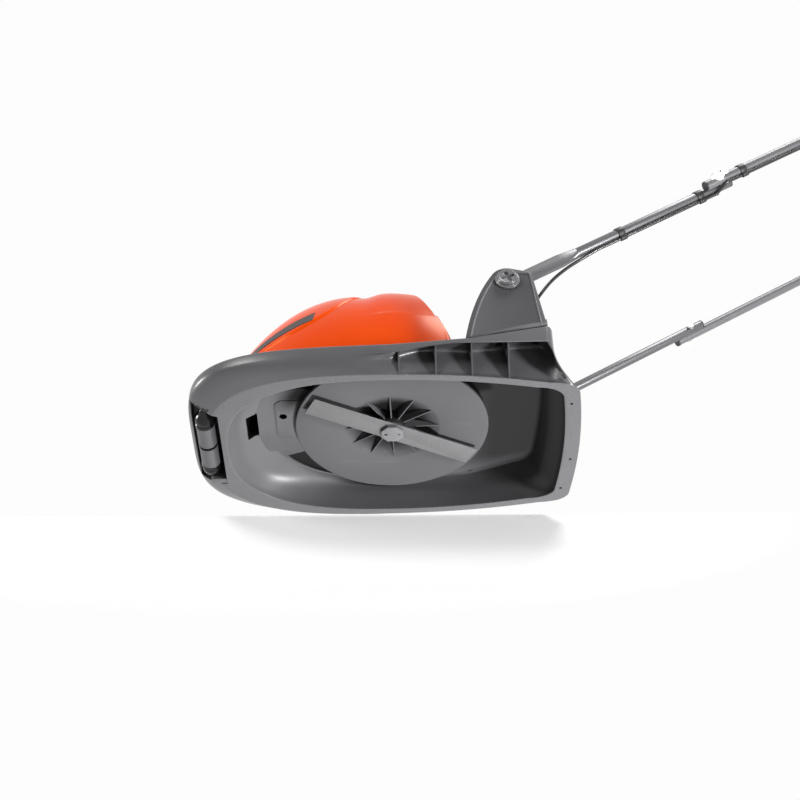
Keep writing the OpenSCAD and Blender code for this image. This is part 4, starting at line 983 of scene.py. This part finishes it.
def bracket_mesh():
    rings = []
    for out, inset, lift in (
        (-10, 1.0, 0), (-9, 0, 0), (-2.2, 0, 0), (-1.3, 0.3, 0), (-1.1, 1.2, 0), (-1.1, 6.8, 0), (-0.2, 7.6, 0),
        (0.2, 8.5, 0), (-0.2, 9.4, 0.5), (-1.4, 10.2, 0.8), (-1.6, 10.8, 1.0),
    ):
        line = bracket_line(inset, lift)
        rings.append(np.column_stack([np.full(len(line), LIP_X + out), line]))
    plate = ring_skin("bracket", rings)
    # Painted highlight: the ridge faces get a paler colour
    mark_faces(plate, "ridge", 0.6 * (face_middles(plate)[:, 0] > LIP_X - 0.9))
    foot = []
    for y in np.linspace(FOOT_FRONT, FOOT_REAR, 24):
        z = float(top_z(y)) - 0.8
        high = mix(5.0, 15.0, float(ease((y - FOOT_FRONT) / 110.0)))
        flare = [(0.6 - 2.8 * t**0.6, 2.5 + (high - 2.5) * t) for t in np.linspace(0, 1, 9)]
        line = [(-25, 0), (0.6, 0), *flare, (-9, high), (-11, 5), (-25, 5)]
        foot.append([(LIP_X + x, y, z + h) for x, h in line])
    return joined("bracket", [plate, ring_skin("foot", foot)])


def knob_mesh():
    """A pivot knob: a flanged round head with a four-point star sunk in it, on its own shaft."""
    head = spun("knob", [
        (0, -22.8, 0), (5, -22.8, 0), (5, -1, 0), (20, -1, 0.4), (20, 2.4, 1.1), (17.2, 3.4, 0.8), (16.8, 6.6, 1),
        (15.2, 9, 1.6), (13.6, 9, 0.5), (12.9, 8.4, 0.5), (0, 8.4, 0),
    ], (LIP_X, PIVOT_Y, PIVOT_Z), "X")
    star = []
    for a in np.linspace(0, 2 * math.pi, 48, endpoint=False):
        r = 4.6 + 7.2 * abs(math.cos(2 * (a - 0.35))) ** 1.6
        star.append((PIVOT_Y + r * math.cos(a), PIVOT_Z + r * math.sin(a)))
    return broken(carve(head, prism("star", star, LIP_X + 4.6, LIP_X + 12, "X")), 0.35, 50.0)


fit_pair("bracket_{}_piece", bracket_mesh(), "bracket_grey", "bracket_{}", 30)
fit_pair("pivot_knob_{}_piece", knob_mesh(), "knob_grey", "pivot_knob_{}", 30)


# Fan: a spun disc with a dished middle, its vanes set round it by one rule


def radial_vanes_group():
    """Tapered plates set round the axis; heights are measured up from the base."""
    group = bpy.data.node_groups.new("radial_vanes", "GeometryNodeTree")
    group.interface.new_socket(name="Geometry", in_out="OUTPUT", socket_type="NodeSocketGeometry")
    group.interface.new_socket(name="Count", in_out="INPUT", socket_type="NodeSocketInt")
    lengths = ("Inner Radius", "Outer Radius", "Inner Height", "Outer Height", "Thickness", "Base", "Middle")
    for label in (*lengths, "Turn"):
        group.interface.new_socket(name=label, in_out="INPUT", socket_type="NodeSocketFloat")
    group.interface.new_socket(name="Finish", in_out="INPUT", socket_type="NodeSocketMaterial")
    given = group.nodes.new("NodeGroupInput").outputs

    def made(kind, **values):
        return add_node(group, kind, **values).outputs[0]

    def total(operation, a, b):
        return calc(group, operation, a, b)

    inner, outer = given["Inner Radius"], given["Outer Radius"]
    length = total("SUBTRACT", outer, inner)
    size = made("ShaderNodeCombineXYZ", X=length, Y=given["Thickness"], Z=1.0)
    plate = made("GeometryNodeMeshCube", Size=size, Vertices_X=12)
    place = parts_of(group, group.nodes.new("GeometryNodeInputPosition").outputs[0])
    along = total("ADD", total("DIVIDE", place["X"], length), 0.5)
    high = spread(group, along, 0.0, 1.0, given["Inner Height"], given["Outer Height"])
    x = total("ADD", place["X"], total("MULTIPLY", total("ADD", outer, inner), 0.5))
    z = total("ADD", given["Base"], total("MULTIPLY", total("ADD", place["Z"], 0.5), high))
    spot = made("ShaderNodeCombineXYZ", X=x, Y=place["Y"], Z=z)
    tapered = made("GeometryNodeSetPosition", Geometry=plate, Position=spot)

    row = made("GeometryNodeMeshLine", Count=given["Count"], Offset=(0.0, 0.0, 0.0))
    number = group.nodes.new("GeometryNodeInputIndex").outputs[0]
    angle = total("ADD", given["Turn"], total("DIVIDE", total("MULTIPLY", number, 2 * math.pi), given["Count"]))
    turn = made("ShaderNodeCombineXYZ", Z=angle)
    ring = made("GeometryNodeInstanceOnPoints", Points=row, Instance=tapered, Rotation=turn)
    solid = made("GeometryNodeRealizeInstances", Geometry=ring)
    centre = made("ShaderNodeCombineXYZ", Y=given["Middle"])
    set_down = made("GeometryNodeTransform", Geometry=solid, Translation=centre)
    dressed = made("GeometryNodeSetMaterial", Geometry=set_down, Material=given["Finish"])
    group.links.new(dressed, group.nodes.new("NodeGroupOutput").inputs[0])
    return group


def vane_ring(group, **values):
    """One ring of vanes as a mesh, lengths given in millimetres."""
    host = add_object("vane_host", bpy.data.meshes.new("vane_host"))
    rule = host.modifiers.new("vanes", "NODES")
    rule.node_group = group
    values = {name: value * 0.001 for name, value in {"Middle": HUB_Y, **values}.items()}
    values.update(Count=12, Turn=VANE_TURN, Finish=FINISHES["fan_grey"])
    for item in group.interface.items_tree:
        if item.in_out == "INPUT":
            rule[item.identifier] = values[item.name.replace(" ", "_")]
    host.update_tag()
    mesh = evaluated(host)
    bpy.data.objects.remove(host)
    return mesh


def make_fan():
    hub, dish = FAN_HUB, FAN_DISH
    t = np.linspace(0, 1, 22)
    under = [(mix(hub, dish, k), DISH_DEPTH * (1 - k**2), 0) for k in t]
    over = [(mix(dish + 2, hub + 3, k), 3.0 + DISH_DEPTH * (1 - (1 - k) ** 2), 0) for k in t]
    disc = spun("fan", [
        (6.05, 0, 0), (hub, 0, 0.8), *under, (FAN_R, 0, 1.6), (FAN_R, 6, 0.8), (FAN_R - 3, 6, 0.8), (FAN_R - 3, 3, 1),
        *over, (hub, 22, 0.8), (6.05, 22, 0),
    ], (0, 0, FAN_Z), sides=160)
    group = radial_vanes_group()
    vanes = vane_ring(
        group, Inner_Radius=hub - 1, Outer_Radius=dish - 2, Inner_Height=18.6, Outer_Height=1.6, Thickness=1.7,
        Base=FAN_Z + 1,
    )
    blower = vane_ring(
        group, Inner_Radius=dish + 6, Outer_Radius=FAN_R - 10, Inner_Height=7.0, Outer_Height=7.0, Thickness=2.0,
        Base=FAN_Z + 2,
    )
    # Painted shade: the dish is drawn darker towards the hub, where the blade's shadow falls
    middles = face_middles(disc)
    reach = np.linalg.norm(middles[:, :2], axis=1)
    dirt = 0.95 * (1 - ease((reach - hub - 24) / 36)) * (middles[:, 2] > FAN_Z + 0.2)
    mark_faces(disc, "recess", dirt)
    fit_piece("fan_disc", joined("fan_disc", [disc, vanes, blower]), "fan_grey", "fan", 40)


make_fan()


# Front roller: two sleeves with turned-down ends and a domed cap at each side


def make_roller():
    sleeve = spun("sleeve", [
        (3.05, 0.6, 0), (13.2, 0.6, 0.4), (13.2, 2.9, 0.3), (15.8, 2.9, 0.9), (15.8, 5.8, 0.3), (15.4, 6.4, 0.3),
        (15.4, 45.2, 0.3), (15.8, 45.8, 0.3), (15.8, 49.6, 0.9), (3.05, 49.6, 0),
    ], ROLLER_AT, "X")
    # Painted shade: the narrow neck at each sleeve's inner end is drawn dark
    mark_faces(sleeve, "recess", 0.95 * (face_middles(sleeve)[:, 0] < 2.95))
    cap = spun("cap", [
        (3.1, 50, 0), (13, 50, 0.4), (16, 51.2, 0.8), (16, 54, 1), (14.2, 56, 0.8), (15.8, 61, 4), (14, 70, 4.5),
        (9, 76, 2), (6.4, 83, 2), (4, 87, 1), (3.1, 87.4, 0),
    ], ROLLER_AT, "X")
    fit_pair("roller_sleeve_{}_piece", sleeve, "roller_grey", "roller_sleeve_{}", 40)
    fit_pair("roller_cap_{}_piece", cap, "cap_black", "roller_cap_{}", 40)


make_roller()


# Pieces whose shape comes from the frame, with their edges broken by a width in millimetres

EDGE_WIDTHS = {
    "wing_knob_left": 1.6, "wing_knob_right": 1.6, "switch_box_upper": 2.0, "switch_box_lower": 2.0,
    "switch_lever": 1.5, "lock_button": 1.0, "blade": 0.25, "blade_bolt": 0.7, "joint_bolts": 0.6,
    "lead_clips_lower": 0.5, "lead_clips_upper": 0.5, "lower_tube_left": 0.3, "lower_tube_right": 0.3,
}


def make_soft_edged():
    slots = {p["node"]: p["material_slot"] for p in frame["record"]["subparts"]}
    for node, width in EDGE_WIDTHS.items():
        fit_piece(node + "_piece", broken(frame["nodes"][node].data.copy(), width), slots[node], node)


make_soft_edged()


def make_button_spring():
    """A coil under the lock button."""
    middle, radius, low, high, turns, steps = GRIP_LEN - 28.0, 3.4, -1.4, 5.2, 5, 150
    path = []
    for t in np.linspace(0, 1, steps + 1):
        a = 2 * math.pi * turns * t
        path.append(handle_point(radius * math.cos(a), middle + radius * math.sin(a), mix(low, high, t)))
    coil = tube_mesh("button_spring_coil", path, 0.5, 10)
    spring = fit_piece("button_spring_coil", coil, "fastener_steel", "button_spring")
    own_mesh(spring)


make_button_spring()


# Studio: a pale floor for views from above, a sloped pale patch under the tipped mower, soft light

UP, BACK, RIGHT = Vector((0.643, 0.018, 0.766)), Vector((0.766, 0.0, -0.643)), Vector((-0.011, 1.0, -0.014))
LIGHTS_AIM = Vector((0.0, -0.35, 0.12))

# Name, place along BACK, UP and RIGHT from the aim, size in metres and watts
LIGHTS = (
    ("low_light", (1.0, -1.9, 0.8), 0.5, 115),
    ("front_light", (2.3, 0.4, 0.9), 1.2, 6),
    ("right_light", (1.4, 0.1, 1.8), 0.5, 56),
    ("top_light", (0.7, 1.6, -1.2), 0.7, 20),
    ("left_light", (-0.1, 0.25, -2.2), 0.8, 38),
    ("rear_light", (-0.5, 1.7, 0.7), 0.8, 24),
)


def pale_floor(name, box, level, glow, place, stretch, fade, soft_start=0.0, one_sided=False):
    """A pale sheet that fades out round a place of its own, so that it has no edge."""
    x0, y0, x1, y1 = box
    mesh = bpy.data.meshes.new(name)
    mesh.from_pydata([(x0, y0, 0), (x1, y0, 0), (x1, y1, 0), (x0, y1, 0)], [], [(0, 1, 2, 3)])
    material, tree, shader = start_material(name)
    feed(
        tree, shader, Base_Color=(level, level, level, 1), Roughness=0.9, Specular_IOR_Level=0.0,
        Emission_Color=(1, 1, 1, 1), Emission_Strength=glow,
    )
    here = own_place(tree)
    far = length_of(tree, mapped(tree, here, Location=place, Scale=stretch))
    gone = spread(tree, far, *fade, soft=True)
    if soft_start:
        start = spread(tree, parts_of(tree, here)["Y"], soft_start, 0.0, soft=True)
        gone = calc(tree, "MAXIMUM", gone, start)
    if one_sided:
        gone = calc(tree, "MAXIMUM", gone, tree.nodes.new("ShaderNodeNewGeometry").outputs["Backfacing"])
    clear = tree.nodes.new("ShaderNodeBsdfTransparent")
    surface = mix_shaders(tree, gone, shader.outputs[0], clear.outputs[0])
    tree.links.new(surface, tree.nodes["Material Output"].inputs["Surface"])
    mesh.materials.append(material)
    floor = add_object(name, mesh)
    return floor


def flat_floor():
    floor = pale_floor(
        "floor", (-4, -4, 4, 4), 0.5, 0.3, (0.0, 0.15, 0.0), (1.0, 1.0, 1.0), (1.4, 2.6), one_sided=True
    )
    floor.visible_shadow = floor.visible_diffuse = floor.visible_glossy = floor.visible_transmission = False


def tipped_floor():
    """A pale patch on which the tipped mower's side edge rests, fading out before its own edges."""
    normal = (UP * 0.97 + BACK * 0.26).normalized()
    deck = bpy.data.objects["deck_moulding"].data
    points = np.empty(len(deck.vertices) * 3)
    deck.vertices.foreach_get("co", points)
    level = float((points.reshape(-1, 3) @ np.array(normal)).min())
    along = Vector((0.0, 0.0, 1.0)).cross(normal).normalized()
    near = along.cross(normal)
    start = normal * level
    start += near * ((-0.001 - start.z) / near.z)
    floor = pale_floor(
        "tipped_floor", (-2, 0, 2, 1.6), 0.8, 0.25, (0.42, 0.0, 0.0), (0.8, 1.5, 1.0), (0.3, 0.72), soft_start=0.012
    )
    floor.visible_diffuse = floor.visible_glossy = floor.visible_shadow = False
    floor.matrix_world = axes_at(start, along, near, along.cross(near))


def make_world():
    """White where the camera or a reflection looks, and a weak cool fill as light."""
    scene.world = bpy.data.worlds.new("studio")
    scene.world.use_nodes = True
    tree = scene.world.node_tree
    tree.nodes.clear()
    path = tree.nodes.new("ShaderNodeLightPath").outputs
    seen = add_node(tree, "ShaderNodeBackground", Color=(0.98, 0.98, 0.98, 1), Strength=1.0)
    fill = add_node(tree, "ShaderNodeBackground", Color=(0.9, 0.92, 0.95, 1), Strength=0.08)
    mirror = calc(tree, "MAXIMUM", path["Is Glossy Ray"], path["Is Transmission Ray"])
    shown = calc(tree, "MAXIMUM", path["Is Camera Ray"], mirror)
    surface = mix_shaders(tree, shown, fill.outputs[0], seen.outputs[0])
    tree.links.new(surface, tree.nodes.new("ShaderNodeOutputWorld").inputs["Surface"])


def make_lights():
    for name, (back, up, right), size, watts in LIGHTS:
        data = bpy.data.lights.new(name, "AREA")
        data.shape, data.size, data.energy = "DISK", size, watts
        light = add_object(name, data)
        light.location = LIGHTS_AIM + BACK * back + UP * up + RIGHT * right
        light.rotation_euler = (LIGHTS_AIM - light.location).to_track_quat("-Z", "Y").to_euler()
        light.visible_glossy = name != "low_light"


flat_floor()
tipped_floor()
make_world()
make_lights()
scene.view_settings.view_transform = "Standard"
